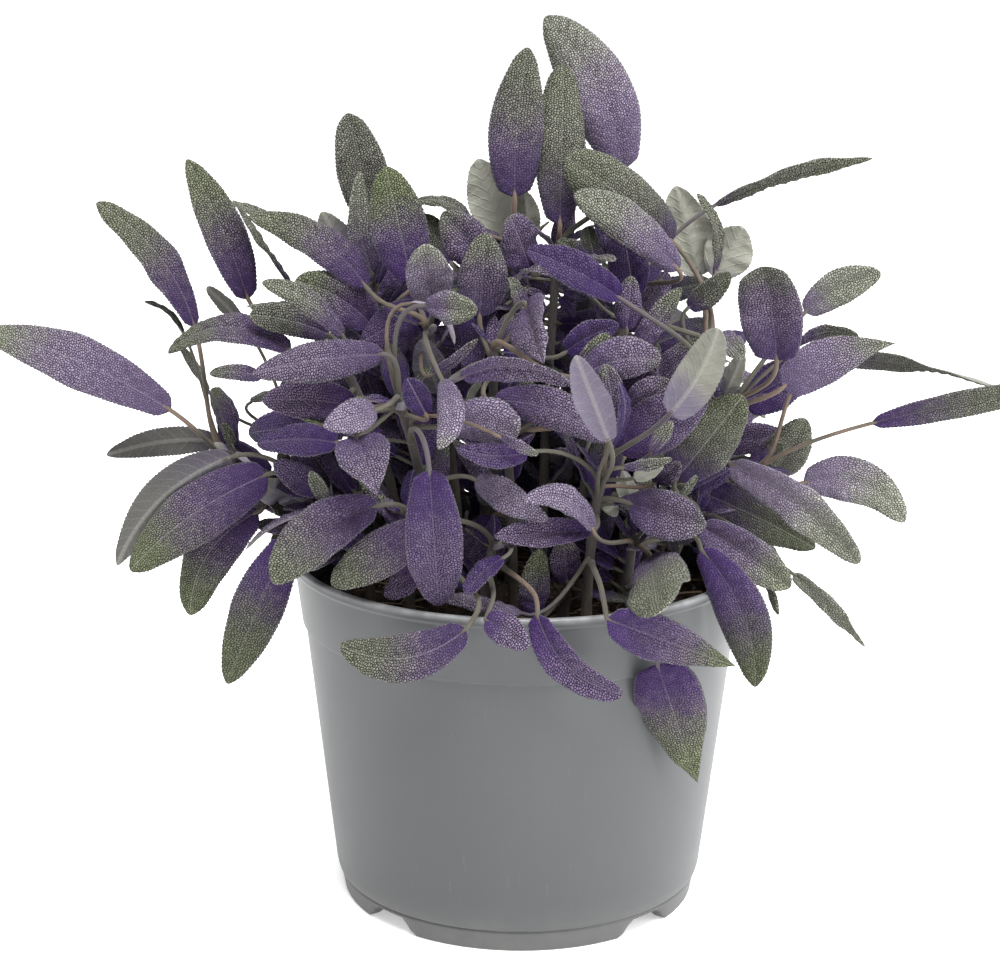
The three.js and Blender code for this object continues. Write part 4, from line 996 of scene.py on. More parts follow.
PLAINEST = (1, UPPER_COLUMNS[::2], UNDER_COLUMNS[::2], 2)


def spread(shares):
    """The half width along the blade as a share of its widest: an oval that narrows to its tip."""
    oval = np.sin(np.pi * (BLADE_ENDS + (1 - 2 * BLADE_ENDS) * shares)) ** BLADE_FULLNESS
    return oval * (1 - BLADE_TAPER * shares**3)


def outline(shares, width, teeth, widest, pointed, full):
    """Half the width along the blade, scalloped, and rounded off at its foot and tip."""
    body = spread(shares**widest) ** full * (1 - pointed * shares**3)
    tip = np.clip((shares - 1 + TIP_ROUND) / TIP_ROUND, 0, 1)
    foot = np.clip((FOOT_ROUND - shares) / FOOT_ROUND, 0, 1)
    half = width / 2 * body * np.sqrt(np.clip(1 - tip**2, 0, 1)) * (1 - FOOT_NARROWS * foot**2)
    crown = np.abs(np.sin(np.pi * shares * teeth)) ** 0.7
    uneven = 0.7 + 0.3 * np.sin(17.3 * shares * teeth / 9 + width)
    return half + np.minimum(TOOTH_DEPTH, 0.1 * half) * (crown - 0.6) * uneven


def blade_part(leaf, petiole, blade, grid):
    """The blade as one closed thin body: its upper side, its margins and its under side.
    No two are alike: each is widest, pointed, full, cupped, rolled, wavy and curled as its seed has it."""
    per_tooth, upper_columns, under_columns, _ = grid
    seeded = np.random.default_rng(int(leaf["seed"] * 1000))
    widest, pointed, full = drawn(seeded, WIDEST, POINTED, FULL)
    cup, roll, wavy, curl = drawn(seeded, CUP, ROLL, WAVE, TIP_CURL)
    taper = [leaf.get("widest", widest), leaf.get("pointed", pointed), leaf.get("full", full)]
    length = np.linalg.norm(np.diff(bezier(blade, np.linspace(0, 1, 30)), axis=0), axis=1).sum()
    teeth = max(5, round(length / TOOTH))
    stations = teeth * per_tooth
    shares = np.arange(stations) / stations
    ends = 1 - np.array([0.6, 0.3, 0.1]) / stations
    shares = np.concatenate([shares, ends])
    points = bezier(blade, shares)
    ways = 2 * ((1 - shares)[:, None] * (blade[1] - blade[0]) + shares[:, None] * (blade[2] - blade[1]))
    ways = units(ways)
    coarse = blade_ups(leaf, petiole, blade)
    marks = np.linspace(0, 1, len(coarse))
    ups = np.stack([np.interp(shares, marks, coarse[:, k]) for k in range(3)], axis=1)
    ups = turned_about(squared(ups, ways), ways, math.radians(leaf.get("twist", 0)) * shares)
    across = np.cross(ways, ups)
    half = outline(shares, leaf["width"], teeth, *taper)
    wave = wavy * leaf["width"] * np.sin(np.pi * shares)
    phase = WAVES * shares + leaf["phase"]
    lifts = []
    for lag in (0, WAVE_LAG):
        ripple = RIPPLE * np.sin(RIPPLES_PER_WAVE * phase + lag)
        lifts.append(wave * (np.sin(phase + lag) + ripple))
    curled = curl * length * shares**3

    def side(columns, under):
        """One side of the blade: its points, and what they carry for the paint."""
        out = half[:, None] * columns[None, :]
        away = np.abs(columns)[None, :]
        lift = np.where(columns < 0, lifts[0][:, None], lifts[1][:, None]) * away**1.4
        veins = (shares[:, None] * length - VEIN_LEAN * np.abs(out)) / VEIN_PITCH
        quilt = QUILT * np.cos(2 * np.pi * (veins + 0.5)) * np.sin(np.pi * away)
        quilt = quilt * np.minimum(1, half / 4)[:, None]
        form = half[:, None] * (cup * away - roll * away**3.2) + curled[:, None]
        rib = np.exp(-((out / RIB_HALF_WIDTH) ** 2)) * (1 - RIB_FADES * shares[:, None])
        inner = np.minimum(1, (1 - away) * 12) * np.minimum(1, half / 1.2)[:, None]
        if under:
            height = form + lift + UNDER_QUILT * quilt - BLADE_HALF_THICK * inner - RIB_RIDGE * rib * inner
        else:
            height = form + lift + quilt + BLADE_HALF_THICK * inner - RIB_GROOVE * rib * inner
        at = points[:, None] + across[:, None] * out[..., None] + ups[:, None] * height[..., None]
        place = np.stack([out, shares[:, None] * length + 0 * out, shares[:, None] + 0 * out], axis=2)
        share = np.stack([away + 0 * out, leaf["seed"] + 0 * out, half[:, None] + 0 * out], axis=2)
        return at, place, share

    upper, under = side(upper_columns, False), side(under_columns, True)
    loops = [np.concatenate([a, b], axis=1) for a, b in zip(upper, under)]
    rows, count = loops[0].shape[:2]
    tip_at = blade[2] + ups[-1] * curl * length
    vertices = np.concatenate([loops[0].reshape(-1, 3), [tip_at]])
    place = np.concatenate([loops[1].reshape(-1, 3), [(0, length, 1)]])
    form = np.concatenate([loops[2].reshape(-1, 3), [(1, leaf["seed"], 0)]])
    grid = np.arange(rows * count).reshape(rows, count)
    right = np.roll(grid, -1, axis=1)
    quads = np.stack([grid[:-1], right[:-1], right[1:], grid[1:]], axis=2)
    edge = len(upper_columns) - 1
    paint = np.tile((np.arange(count) >= edge).astype(int), rows - 1)
    faces = [tuple(quad) for quad in quads.reshape(-1, 4).tolist()]
    last, tip = grid[-1].tolist(), rows * count
    faces += [(last[k], last[(k + 1) % count], tip) for k in range(count)]
    faces.append(tuple(reversed(grid[0].tolist())))
    paints = paint.tolist() + [int(k >= edge) for k in range(count)] + [1]
    tint = np.tile(leaf["tint"], (len(vertices), 1))
    made = {"vertices": vertices, "faces": faces, "paint": paints}
    return {**made, "place": place, "tint": tint, "form": form}


PETIOLE_SIDES = 8
PETIOLE_STATIONS = 14
PETIOLE_RADIUS = 0.78
PETIOLE_NARROWS = 0.18
CLASP = 0.5
CLASP_FADES = 14
RIB_ENTRY = (0.03, 0.07)
RIB_DEPTH = 0.35
END_TAPER = (0.85, 0.45)
grooved = 1 - 0.28 * np.exp(-((np.arange(PETIOLE_SIDES) - PETIOLE_SIDES / 4) ** 2) / 0.8)


def petiole_part(leaf, petiole, blade, every):
    """The stalk: a grooved tube, wider where it clasps the stem, that runs out under the blade's rib."""
    points = bezier(petiole, np.linspace(0, 1, PETIOLE_STATIONS // every))
    up = blade_ups(leaf, petiole, blade)[0]
    into = bezier(blade, RIB_ENTRY)
    points = np.concatenate([points, into - RIB_DEPTH * up])
    shares = np.linspace(0, 1, len(points))
    thick = PETIOLE_RADIUS * min(1, 0.55 + leaf["width"] / 25)
    radii = thick * (1 - PETIOLE_NARROWS * shares) + CLASP * np.exp(-shares * CLASP_FADES)
    radii[-len(END_TAPER) :] *= END_TAPER
    ways = np.gradient(points, axis=0)
    ups = [up]
    for i in range(len(points) - 1, 0, -1):
        ups.append(swung(ups[-1], unit(ways[i]), unit(ways[i - 1])))
    return tube(points, np.array(ups[::-1]), radii, grooved[::every], (leaf["stalk"], 0, 0))


def grow(shoot, leaf, node, grid):
    """The leaf's blade and stalk, grown from the node."""
    blade = blade_controls(leaf)
    petiole = petiole_controls(leaf, node, blade)
    shoot.parts.append(blade_part(leaf, petiole, blade, grid))
    shoot.parts.append(petiole_part(leaf, petiole, blade, grid[-1]))


FIT = 0.9
MEAN_FIT = 0.32
DEPTH_STEP = 3
DEPTH_STEPS = 12
GOLDEN_SHARE = 0.618
canopy_corners, canopy_faces, canopy_owners = [], [], []
for shoot in shoots:
    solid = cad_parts[f"shoot_{shoot.name}"].data
    start = len(canopy_corners)
    canopy_corners += [vertex.co[:] for vertex in solid.vertices]
    canopy_faces += [[start + corner for corner in face.vertices] for face in solid.polygons]
    canopy_owners += [shoot] * len(solid.polygons)
canopy = BVHTree.FromPolygons(canopy_corners, canopy_faces)


def owner_near(points):
    """The one shoot whose plain form all the points touch, and how far they lie from it in all."""
    total, owner = 0, None
    for point in points:
        face, distance = canopy.find_nearest(point * MM + PLANT_ORIGIN, FIT * MM)[2:]
        if face is None or (owner and canopy_owners[face] is not owner):
            return None, 0
        owner = canopy_owners[face]
        total += distance / MM
    return owner, total


def best_fit(leaves):
    """Of the ways that a leaf could lie, the one that lies best in the plain form, with its shoot."""
    best = None
    for leaf in leaves:
        blade = blade_controls(leaf)
        points = bezier(blade, np.linspace(0, 1, blade_steps(leaf) + 1))
        owner, _ = owner_near(points[1:-1])
        node = owner and owner.nearest_node(leaf["base"])
        if not node:
            continue
        ups = blade_ups(leaf, petiole_controls(leaf, node, blade), blade)
        ways = np.gradient(points, axis=0)
        shares = np.linspace(0, 1, len(points))[:, None]
        across = np.cross(units(ways), ups)
        twist = np.radians(leaf.get("twist", 0)) * shares
        across = across * np.cos(twist) - ups * np.sin(twist)
        reach = across * leaf["width"] / 4 * spread(shares)
        edges = np.concatenate([(points + reach)[1:-1], (points - reach)[1:-1]])
        owner, total = owner_near(np.concatenate([points[1:-1], (points[1:] + points[:-1])[1:] / 2, edges]))
        total /= len(points) * 4 - 7
        if owner and total < (best[0] if best else MEAN_FIT):
            best = (total, owner, leaf)
    return best


def grow_best(leaves, grid, only_on=None):
    """Grows the one of the leaves that fits best, if any does, on its shoot's nearest free node."""
    found = best_fit(leaves)
    if found and only_on in (None, found[1]):
        _, shoot, leaf = found
        node = shoot.nearest_node(leaf["base"])
        node["leaves"] += 1
        grow(shoot, leaf, node, grid)


shifts = [(-1 if i % 2 else 1) * math.ceil(i / 2) * DEPTH_STEP for i in range(2 * DEPTH_STEPS + 1)]
for phase, (base, tip, width, turn, tint, *rest) in enumerate(LEAVES):
    how = dict(*rest)
    over = seen(how["over"]) if "over" in how else None
    leaf = {"stalk": (phase * GOLDEN_SHARE) % 1, **how, "over": over, "width": width, "turn": turn}
    leaf.update({"tint": tint, "seed": 0.37 * phase, "phase": phase})
    ways_to_lie = []
    for shift in shifts:
        ends = {"base": seen((*base[:2], base[2] + shift)), "tip": seen((*tip[:2], tip[2] + shift))}
        ways_to_lie.append({**leaf, **ends, "facing": unit(EYE - ends["base"])})
    grow_best(ways_to_lie, FINE)

# Leaves inside the plant: small, and painted dark for the shade in its heart, they grow across the lines
# along which one would look right through its heart, each drawn by lot between the limits that follow.
HEART_X = -3
HEART_Z = 130
HEART_HALF_WIDTH = 70
HEART_HALF_HEIGHT = 58
HEART_STEP = 4
HEART_TRIES = 40
SEED_PER_LINE = 15485863
SEED_PER_LEAF = 104729
HEART_DEPTH = (-10, 66)
HEART_CLIMB = (0, 1.45)
HEART_LENGTH = (24, 38)
HEART_WIDTH_PER_LENGTH = (0.32, 0.4)
# Their lightness runs from -0.7 to -0.1: painted shade.
HEART_TINT = ((0.6, 1.3), (-0.7, -0.1), (0, 0.15))
TURN = (-25, 25)
BOW = (-2, 2)
BULGE = 3


def between(limits, roll):
    """A number between the limits, drawn with the roll."""
    return limits[0] + (limits[1] - limits[0]) * roll()


def repeatable_dice(seed):
    """Numbers from 0 to 1 that follow from the seed, from the second one on."""
    state = [seed]

    def roll():
        state[0] = (state[0] * 16807) % 2147483647
        return state[0] / 2147483647

    roll()
    return roll


def lying(base, tip, facing, width, phase, roll):
    """A leaf between those ends, turned and bowed as the roll has it."""
    ends = {"base": base, "tip": tip, "facing": facing, "width": width, "phase": phase}
    return {**ends, "turn": between(TURN, roll), "bow": between(BOW, roll), "bulge": BULGE}


def heart_leaf(x, z, seed):
    """A leaf across the sight line through x, z on the upright plane, with its upper side to the eye."""
    roll = repeatable_dice(seed)
    depth = between(HEART_DEPTH, roll)
    climb = between(HEART_CLIMB, roll)
    length = between(HEART_LENGTH, roll)
    width = length * between(HEART_WIDTH_PER_LENGTH, roll)
    side = -1 if x < HEART_X else 1
    reach_x = side * math.cos(climb) * length / 2
    reach_z = math.sin(climb) * length / 2
    base = seen((x - reach_x, z - reach_z, depth))
    tip = seen((x + reach_x, z + reach_z, depth))
    return lying(base, tip, unit(EYE - base), width, depth, roll)


def off_heart(x, z):
    """From 0 in the middle of the plant's heart to 1 at its edge, and on outside."""
    return ((x - HEART_X) / HEART_HALF_WIDTH) ** 2 + ((z - HEART_Z) / HEART_HALF_HEIGHT) ** 2


dice = np.random.default_rng(29)
lines = [
    (x, z)
    for z in range(HEART_Z - HEART_HALF_HEIGHT, HEART_Z + HEART_HALF_HEIGHT + 1, HEART_STEP)
    for x in range(HEART_X - HEART_HALF_WIDTH, HEART_X + HEART_HALF_WIDTH + 1, HEART_STEP)
]
for line, (x, z) in enumerate(lines):
    if off_heart(x, z) >= 1:
        continue
    look = {"tint": drawn(dice, *HEART_TINT), "seed": 140 + 0.7 * line, "stalk": (line * GOLDEN_SHARE) % 1}
    seeds = [1 + line * SEED_PER_LEAF + attempt * SEED_PER_LINE for attempt in range(HEART_TRIES)]
    grow_best([{**heart_leaf(x, z, seed), **look} for seed in seeds], PLAIN)

# Leaves on the back and under the front ones: as many on each shoot as the list says, drawn by lot between
# the limits that follow it. They grow outwards and up to the light.
UNSEEN_LEAVES = {
    "left_mid": 2, "left_top": 2, "left_inner": 1, "top_left": 1, "top_centre": 2, "top_right": 2,
    "upper_right": 2, "right_inner": 1, "right_mid": 1, "right_far": 2, "back_left_low": 5,
    "back_left": 4, "back_low_left": 5, "back_top": 5, "back_mid": 5, "back_low_right": 4,
    "back_right": 5, "back_right_low": 5, "back_centre": 4,
}
UNSEEN_TRIES = 24
SEED_PER_SHOOT = 7919
SEED_PER_TRY = 1299709
NODE_HEIGHT = (0.5, 1)
BEARING_SWING = (-2.2, 2.2)
CLIMB = (-0.25, 1.25)
STALK_CLIMB = 0.35
STALK_LENGTH = (10, 26)
BLADE_DROOP = 0.2
BLADE_LENGTH = (26, 46)
BLADE_LEAN = (-0.3, 0.6)
WIDTH_PER_LENGTH = (0.3, 0.38)
UNSEEN_TINT = ((0.35, 1.1), (-0.25, 0.35), (0.05, 0.45))


def unseen_leaf(shoot, seed, number):
    """A leaf that grows outwards, steep near the shoot's tip and flat or hanging lower down."""
    roll = repeatable_dice(seed)
    height = between(NODE_HEIGHT, roll)
    node = shoot.at(LEAFY_FROM + (1 - LEAFY_FROM) * height)
    bearing = math.atan2(node[1], node[0]) + between(BEARING_SWING, roll)
    climb = CLIMB[0] + (CLIMB[1] - CLIMB[0]) * height * roll()
    out = np.array([math.cos(bearing), math.sin(bearing), 0])
    up = np.array([0, 0, 1.0])
    way = out * math.cos(climb) + up * math.sin(climb)
    base = node + (way + up * STALK_CLIMB) * between(STALK_LENGTH, roll)
    length = between(BLADE_LENGTH, roll)
    tip = base + unit(way - up * BLADE_DROOP) * length
    facing = up + out * between(BLADE_LEAN, roll)
    width = length * between(WIDTH_PER_LENGTH, roll)
    return lying(base, tip, facing, width, number, roll)


dice = np.random.default_rng(13)
for number, shoot in enumerate(shoots):
    for k in range(UNSEEN_LEAVES.get(shoot.name, 0)):
        look = {"tint": drawn(dice, *UNSEEN_TINT), "stalk": dice.uniform(0, 1)}
        look["seed"] = 61 + 3.7 * number + 0.9 * k
        first = 1 + number * SEED_PER_SHOOT + k * SEED_PER_LEAF
        seeds = [first + attempt * SEED_PER_TRY for attempt in range(UNSEEN_TRIES)]
        grow_best([{**unseen_leaf(shoot, seed, k), **look} for seed in seeds], PLAIN, shoot)

# Young leaves: soft and small, four crowd the tip of every shoot and pairs of longer ones stand along it,
# where they don't hide the old leaves. A few more close what gaps are left in the heart of the plant.
YOUNG_WIDTH_PER_LENGTH = 0.44
YOUNG_BOW = (-0.8, 0.8)
# Their lightness runs from -0.75 to 0.1, mostly below 0: painted shade that darkens the heart of the plant.
YOUNG_TINT = ((0.5, 1.3), (-0.75, 0.1), (0, 0.25))
YOUNG_STALK = 2.4
TIP_LEAVES = 4
TIP_SHARE = 0.99
TIP_STAGGER = 0.05
TIP_CLIMB = (0.5, 1.1)
TIP_LENGTH = (6, 11)
PAIR_SHARES = np.linspace(0.28, 0.95, 12)
PAIR_SWING = (-0.4, 0.4)
PAIR_CLIMB = (0.15, 1.1)
PAIR_STALK = (3, 7)
PAIR_LENGTH = (12, 25)
SEEN_AT = (0.4, 1)


def gathered(parts):
    """The vertices and the faces of all those parts of the plant."""
    return joined([(part["vertices"], part["faces"]) for part in parts])


def all_grown():
    """The surface of all stems, stalks and leaves so far, to look along lines at."""
    vertices, faces = gathered([part for shoot in shoots for part in shoot.parts])
    return BVHTree.FromPolygons(vertices.tolist(), faces)


def is_free(grown, start, end):
    """Whether nothing has grown between the two points."""
    way = Vector(end - start)
    return grown.ray_cast(Vector(start), way.normalized(), way.length)[0] is None


def young_leaf(grown, shoot, node, way, reach, facing, grid, dice):
    """A small leaf from the node, its blade between the two reaches, if there is room for it."""
    base, tip = node["at"] + way * reach[0], node["at"] + way * reach[1]
    if not is_free(grown, base, tip):
        return None
    width = (reach[1] - reach[0]) * YOUNG_WIDTH_PER_LENGTH
    leaf = {"base": base, "tip": tip, "facing": facing, "width": width, "bow": dice.uniform(*YOUNG_BOW)}
    leaf.update({"tint": drawn(dice, *YOUNG_TINT), "stalk": 0.3})
    leaf["seed"], leaf["phase"] = drawn(dice, (0, 300), (0, 6))
    grow(shoot, leaf, node, grid)
    return leaf


def whorl(shoot, share, count, first):
    """The outward ways of leaves that stand evenly around the stem at that share of its way."""
    along = shoot.along(share)
    side = unit(np.cross(along, (0.3, 1, 0)))
    bearings = first + np.arange(count) * 2 * math.pi / count
    return along, [turned_about(side[None], along[None], np.array([bearing]))[0] for bearing in bearings]


for shoot in shoots:
    shoot.parts.insert(0, stem_part(shoot))
grown = all_grown()
dice = np.random.default_rng(5)
for shoot in shoots:
    along, outs = whorl(shoot, TIP_SHARE, TIP_LEAVES, dice.uniform(0, 1))
    for i, out in enumerate(outs):
        climb = dice.uniform(*TIP_CLIMB)
        way = out * math.cos(climb) + along * math.sin(climb)
        node = {"at": shoot.at(TIP_SHARE - TIP_STAGGER * (i % 2)), "along": along}
        reach = (YOUNG_STALK, YOUNG_STALK + dice.uniform(*TIP_LENGTH))
        young_leaf(grown, shoot, node, way, reach, unit(along - out * 0.5), SMALL, dice)
    for i, share in enumerate(PAIR_SHARES):
        along, outs = whorl(shoot, share, 2, i * math.pi / 2 + dice.uniform(*PAIR_SWING))
        node = shoot.node_at(share)
        for out in outs:
            climb, stalk, length = drawn(dice, PAIR_CLIMB, PAIR_STALK, PAIR_LENGTH)
            way = out * math.cos(climb) + along * math.sin(climb)
            in_view = any(is_free(grown, EYE, node["at"] + way * (stalk + length * t)) for t in SEEN_AT)
            if shoot.name.startswith("back") or not in_view:
                reach = (stalk, stalk + length)
                young_leaf(grown, shoot, node, way, reach, unit(along - out * 0.4), PLAINEST, dice)

GAP_STEP = 2
GAP_HALF_LENGTH = 7.5
GAP_REACH = (1.5, 24)
GAP_TRIES = 90
GAP_HEART = 0.8
FAR_RIM_SEEN = 113
SIGHT_LENGTH = 900


def on_plane(point):
    """Where the eye sees a point on the upright plane, as x and z."""
    return (EYE + (point - EYE) * (EYE[1] / (EYE[1] - point[1])))[[0, 2]]


def is_covered(here, leaf):
    """Whether the leaf's blade hides that x and z on the upright plane."""
    a, b = on_plane(leaf["base"]), on_plane(leaf["tip"])
    share = np.clip(np.dot(here - a, b - a) / np.dot(b - a, b - a), 0.1, 0.8)
    return np.linalg.norm(a + (b - a) * share - here) < 0.35 * leaf["width"]


def close_gap(grown, sight, buds):
    """A young leaf across the line of sight, from the nearest bud that has room for it."""
    places = np.array([node["at"] for _, node in buds])
    nearest = EYE + np.outer((places - EYE) @ sight, sight)
    away = np.linalg.norm(nearest - places, axis=1)
    for i in np.argsort(away)[:GAP_TRIES]:
        if GAP_REACH[0] < away[i] < GAP_REACH[1]:
            way = (nearest[i] - places[i]) / away[i]
            reach = (max(YOUNG_STALK, away[i] - GAP_HALF_LENGTH), away[i] + GAP_HALF_LENGTH)
            leaf = young_leaf(grown, *buds[i], way, reach, -sight, SMALL, dice)
            if leaf:
                return leaf
    return None


buds = [(shoot, shoot.node_at(share)) for shoot in shoots for share in np.linspace(0.1, 0.98, 26)]
for look in range(2):
    grown = all_grown()
    closing = []
    for z in np.arange(FAR_RIM_SEEN + look, HEART_Z + HEART_HALF_HEIGHT, GAP_STEP):
        for x in np.arange(HEART_X - HEART_HALF_WIDTH + look, HEART_X + HEART_HALF_WIDTH, GAP_STEP):
            sight = unit(np.array([x, 0, z]) - EYE)
            if off_heart(x, z) >= GAP_HEART or not is_free(grown, EYE, EYE + sight * SIGHT_LENGTH):
                continue
            if any(is_covered(np.array([x, z]), leaf) for leaf in closing):
                continue
            leaf = close_gap(grown, sight, buds)
            if leaf:
                closing.append(leaf)

# The skin of the shoots: beads between a net of veins, with short hairs, on the upper sides of the leaves,
# pale felt with raised veins on the under sides, and streaked green, pink or woody stalks and stems.
# Each shoot with all that it bears is one piece.


def carried(wire, name):
    """The three numbers that each vertex carries under that name."""
    return wire.node("ShaderNodeAttribute", {"attribute_name": name}, {}, "Vector").parts()


def leaf_wires(wire):
    """What the blades carry for their paint: places in millimetres, form and tint."""
    return carried(wire, "leaf_place"), carried(wire, "leaf_form"), carried(wire, "leaf_tint")


LEAF_GAP = 23.1


def flat_place(wire, across, along, seed):
    """A place on the spread leaf, which no other leaf shares."""
    return wire.vector(across + seed * LEAF_GAP, along, seed)


def cells(wire, place, scale):
    """A net of cells of about 1 / scale: how far a place is from the edge of its own."""
    settings = {"voronoi_dimensions": "2D", "feature": "DISTANCE_TO_EDGE"}
    return wire.node("ShaderNodeTexVoronoi", settings, {"Vector": place, "Scale": scale, "Randomness": 0.9})


def vein_lines(wire, across, along, wobble):
    """How close a place is to a side vein, from 0 between two to 1 on one."""
    way = (along - VEIN_LEAN * abs(across) + wobble) / VEIN_PITCH
    return abs(way.math("FRACT", way) - 0.5) * 2


upper_paint, wire, shader = new_paint("sage_leaf_upper")
(across, along, share), (edge, seed, _), (green_from, light, grey) = leaf_wires(wire)
spot = flat_place(wire, across, along, seed)
warp = wire.noise(spot, 0.5, 2, 0.5)
slanted = (along - abs(across) * 0.4) * 1.6
bead_rows = wire.vector(across * 1.4 + seed * LEAF_GAP, slanted)
bead = cells(wire, bead_rows, 1).step(0, 0.3)
fuzz = wire.noise(spot, 6, 2, 0.7)
clouds = wire.noise(spot, 0.13, 3, 0.55)
mottle = wire.noise(spot, 0.4, 3, 0.6)
own = wire.node("ShaderNodeTexWhiteNoise", {"noise_dimensions": "1D"}, {"W": seed})
side_veins = vein_lines(wire, across, along, warp * 1.6)
rib = abs(across).step(0.34, 0.05)
outward = (share + (mottle - 0.5) * 0.5).step(-0.05, 0.6)
greenness = (share + (clouds - 0.5) * 0.35 + (mottle - 0.5) * 0.3 - green_from).step(-0.26, 0.26)
frost = 0.13 + bead * 0.76 + fuzz * 0.2 - side_veins.step(0.8, 1) * 0.15 + (mottle - 0.5) * 0.5
frost = frost.step(0.2, 1.04)
frost = 0.28 + (frost - 0.28) * (0.28 + 0.72 * outward)
violet = frost.mix((0.012, 0.003, 0.042), (0.105, 0.043, 0.203))
lavender = frost.mix((0.012, 0.006, 0.027), (0.198, 0.146, 0.238))
green = frost.mix((0.017, 0.018, 0.013), (0.192, 0.198, 0.147))
body = greenness.mix(outward.mix(violet, lavender), green)
fresh_tip = greenness * share.step(0.45, 0.95) * (1 - grey) * (1 - grey) * (0.5 + 0.5 * own)
body = (fresh_tip * 0.9).mix(body, frost.mix((0.035, 0.047, 0.015), (0.2, 0.25, 0.095)))
body = (grey * 0.55).mix(body, frost.mix((0.021, 0.019, 0.022), (0.195, 0.182, 0.19)))
# Painted light and shade, leaf by leaf: above 0 a leaf's lightness paints it paler, below 0 it paints it
# towards near-black violet or olive shade.
pale_violet = frost.mix((0.08, 0.058, 0.11), (0.36, 0.31, 0.4))
pale_green = frost.mix((0.09, 0.09, 0.066), (0.38, 0.39, 0.33))
shaded = greenness.mix((0.021, 0.007, 0.066), (0.02, 0.021, 0.017))
rib_tone = greenness.mix((0.24, 0.2, 0.28), (0.26, 0.265, 0.22))
body = (light.step(0, 0.8) * 0.85).mix(body, greenness.mix(pale_violet, pale_green))
body = (light.step(0, -0.7) * 0.8).mix(body, shaded)
body = (rib * (0.1 + 0.55 * own * own)).mix(body, rib_tone)
body = (edge.step(0.9, 1) * 0.45).mix(body, (0.2, 0.19, 0.2))
height = bead * 1.1 + fuzz * 0.2 + mottle * 2 - side_veins.step(0.7, 1) * 0.6
coat(
    shader,
    Base_Color=body,
    Roughness=0.72 + 0.1 * fuzz,
    Specular_IOR_Level=0.12,
    Sheen_Weight=0.04,
    Sheen_Roughness=0.45,
    Normal=height.bump(1, 0.0004),
)

under_paint, wire, shader = new_paint("sage_leaf_under")
(across, along, share), (_, seed, _), (green_from, light, grey) = leaf_wires(wire)
spot = flat_place(wire, across, along, seed)
warp = wire.noise(spot, 0.5, 2, 0.5)
felt = wire.noise(spot, 4.5, 3, 0.65)
clouds = wire.noise(spot, 0.12, 3, 0.5)
side_veins = vein_lines(wire, across, along, warp * 1.4).step(0.72, 1)
mesh_veins = cells(wire, spot, 0.8).step(0.1, 0.0)
rib = abs(across).step(0.8, 0.3)
greenness = (share + (clouds - 0.5) * 0.3 - green_from).step(-0.25, 0.15)
body = greenness.mix((0.12, 0.1, 0.15), (0.2, 0.203, 0.16))
body = (felt * 0.6).mix(body, greenness.mix((0.2, 0.18, 0.235), (0.27, 0.268, 0.235)))
body = (grey * 0.3).mix(body, (0.18, 0.178, 0.165))
# Painted light and shade, leaf by leaf: paler above 0, towards near-black shade below 0.
body = (light.step(0, 1) * 0.7).mix(body, greenness.mix((0.3, 0.265, 0.35), (0.4, 0.405, 0.345)))
body = (light.step(0, -0.7) * 0.75).mix(body, (0.024, 0.021, 0.03))
body = (rib * 0.3 + side_veins * 0.11 + mesh_veins * 0.08).mix(body, (0.3, 0.29, 0.26))
height = felt * 0.3 + side_veins * 0.8 + mesh_veins * 0.4
coat(
    shader,
    Base_Color=body,
    Roughness=0.85,
    Specular_IOR_Level=0.2,
    Sheen_Weight=0.15,
    Sheen_Roughness=0.5,
    Normal=height.bump(0.5, 0.0004),
)

stalk_paint, wire, shader = new_paint("sage_stalks")
around, along, share = carried(wire, "leaf_place")
pink, _, woody = carried(wire, "leaf_tint")
spot = wire.vector(around * 2.2, along * 0.35, pink * 40)
streaks = wire.noise(spot, 1.2, 4, 0.6)
place = wire.place()
down = wire.noise(place, 2500, 2, 0.6)
patches = wire.noise(place, 90, 3, 0.5)
fresh = streaks.mix((0.02, 0.018, 0.014), (0.095, 0.087, 0.066))
flushed = streaks.mix((0.036, 0.022, 0.016), (0.2, 0.138, 0.1))
body = (pink.step(0.55, 0.85) * patches.step(0.3, 0.6)).mix(fresh, flushed)
body = (pink.step(0.3, 0.05) * 0.6 * share.step(0.3, 1)).mix(body, (0.055, 0.04, 0.07))
bark = streaks.mix((0.009, 0.007, 0.006), (0.06, 0.045, 0.035))
body = (woody * share.step(0.75, 0.35)).mix(body, bark)
dusty = streaks.mix((0.014, 0.011, 0.014), (0.07, 0.06, 0.055))
body = (woody * share.step(0.3, 0.6) * 0.7).mix(body, dusty)
body = (down * 0.15).mix(body, (0.22, 0.21, 0.185))
coat(
    shader,
    Base_Color=body,
    Roughness=0.7 + 0.15 * streaks,
    Specular_IOR_Level=0.3,
    Sheen_Weight=0.12,
    Sheen_Roughness=0.4,
    Normal=(streaks + down * 0.4).bump(0.6, 0.0002),
)

for shoot in shoots:
    parts = shoot.parts
    attributes = {
        "leaf_place": np.concatenate([part["place"] for part in parts]),
        "leaf_tint": np.concatenate([part["tint"] for part in parts]),
        "leaf_form": np.concatenate([part.get("form", np.zeros_like(part["place"])) for part in parts]),
    }
    paints = [upper_paint, under_paint, stalk_paint]
    paint_of_face = [index for part in parts for index in part["paint"]]
    made = new_piece(f"sage_{shoot.name}", *gathered(parts), paints, paint_of_face, attributes)
    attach(made, "root")
    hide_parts(f"shoot_{shoot.name}")

# Studio: the plant stands on a plain pale floor that fills the view, under a large soft light from above
# and in front, with a weaker one at the right that gives the pot its light side, and a third behind.
FLOOR_SIDE = 40

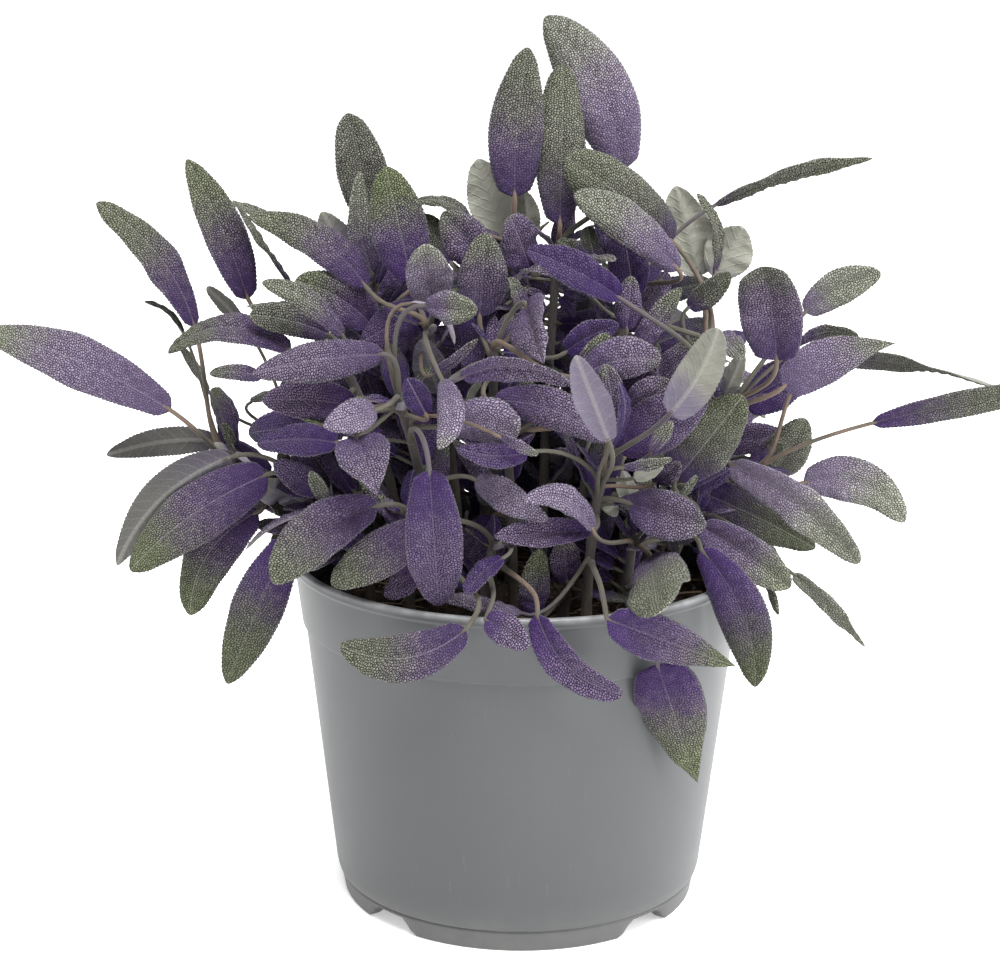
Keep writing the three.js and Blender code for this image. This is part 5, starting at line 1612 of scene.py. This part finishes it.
floor_mesh = bpy.data.meshes.new("floor")
corners = [(x * FLOOR_SIDE / 2, y * FLOOR_SIDE / 2, 0) for x, y in ((-1, -1), (1, -1), (1, 1), (-1, 1))]
floor_mesh.from_pydata(corners, [], [(0, 1, 2, 3)])
floor_paint, wire, shader = new_paint("pale_floor")
coat(shader, Base_Color=(0.93, 0.93, 0.93, 1), Roughness=0.9, Specular_IOR_Level=0.1)
coat(shader, Emission_Color=(1, 1, 1, 1), Emission_Strength=0.42)
floor_mesh.materials.append(floor_paint)
floor = bpy.data.objects.new("floor", floor_mesh)
bpy.context.scene.collection.objects.link(floor)

world = bpy.data.worlds.new("studio")
world.use_nodes = True
world.node_tree.nodes["Background"].inputs["Color"].default_value = (1, 1, 1, 1)
world.node_tree.nodes["Background"].inputs["Strength"].default_value = 0.65
bpy.context.scene.world = world


def soft_light(name, place, aim, size, power):
    """A square lamp of that size in metres, turned towards its aim."""
    lamp = bpy.data.lights.new(name, "AREA")
    lamp.size = size
    lamp.energy = power
    light_object = bpy.data.objects.new(name, lamp)
    bpy.context.scene.collection.objects.link(light_object)
    light_object.location = place
    light_object.rotation_mode = "QUATERNION"
    light_object.rotation_quaternion = (Vector(aim) - Vector(place)).to_track_quat("-Z", "Y")


soft_light("overhead", place=(0.15, -0.7, 1.5), aim=(0, 0, 0.12), size=0.8, power=41)
soft_light("right_side", place=(1.2, -0.45, 0.55), aim=(0, 0, 0.1), size=1.1, power=16)
soft_light("behind", place=(0.5, 1.3, 0.9), aim=(0, 0, 0.1), size=1, power=14)

# Camera: about 70 cm from the pot and a little above it, through a short telephoto lens.
CAMERA_AIM = np.array([-6, 0, 121])
LENS = 88.3
CAMERA_ROLL = 0.4

camera = bpy.data.objects.new("camera", bpy.data.cameras.new("camera"))
bpy.context.scene.collection.objects.link(camera)
camera.data.lens = LENS
camera.data.clip_start = 0.05
camera.data.clip_end = 100
eye = EYE * MM + PLANT_ORIGIN
aim = CAMERA_AIM * MM + PLANT_ORIGIN
camera.location = eye
camera.rotation_mode = "QUATERNION"
level = Vector(aim - eye).to_track_quat("-Z", "Y")
camera.rotation_quaternion = level @ Quaternion((0, 0, 1), math.radians(CAMERA_ROLL))
bpy.context.scene.camera = camera
bpy.context.scene.view_settings.view_transform = "Standard"
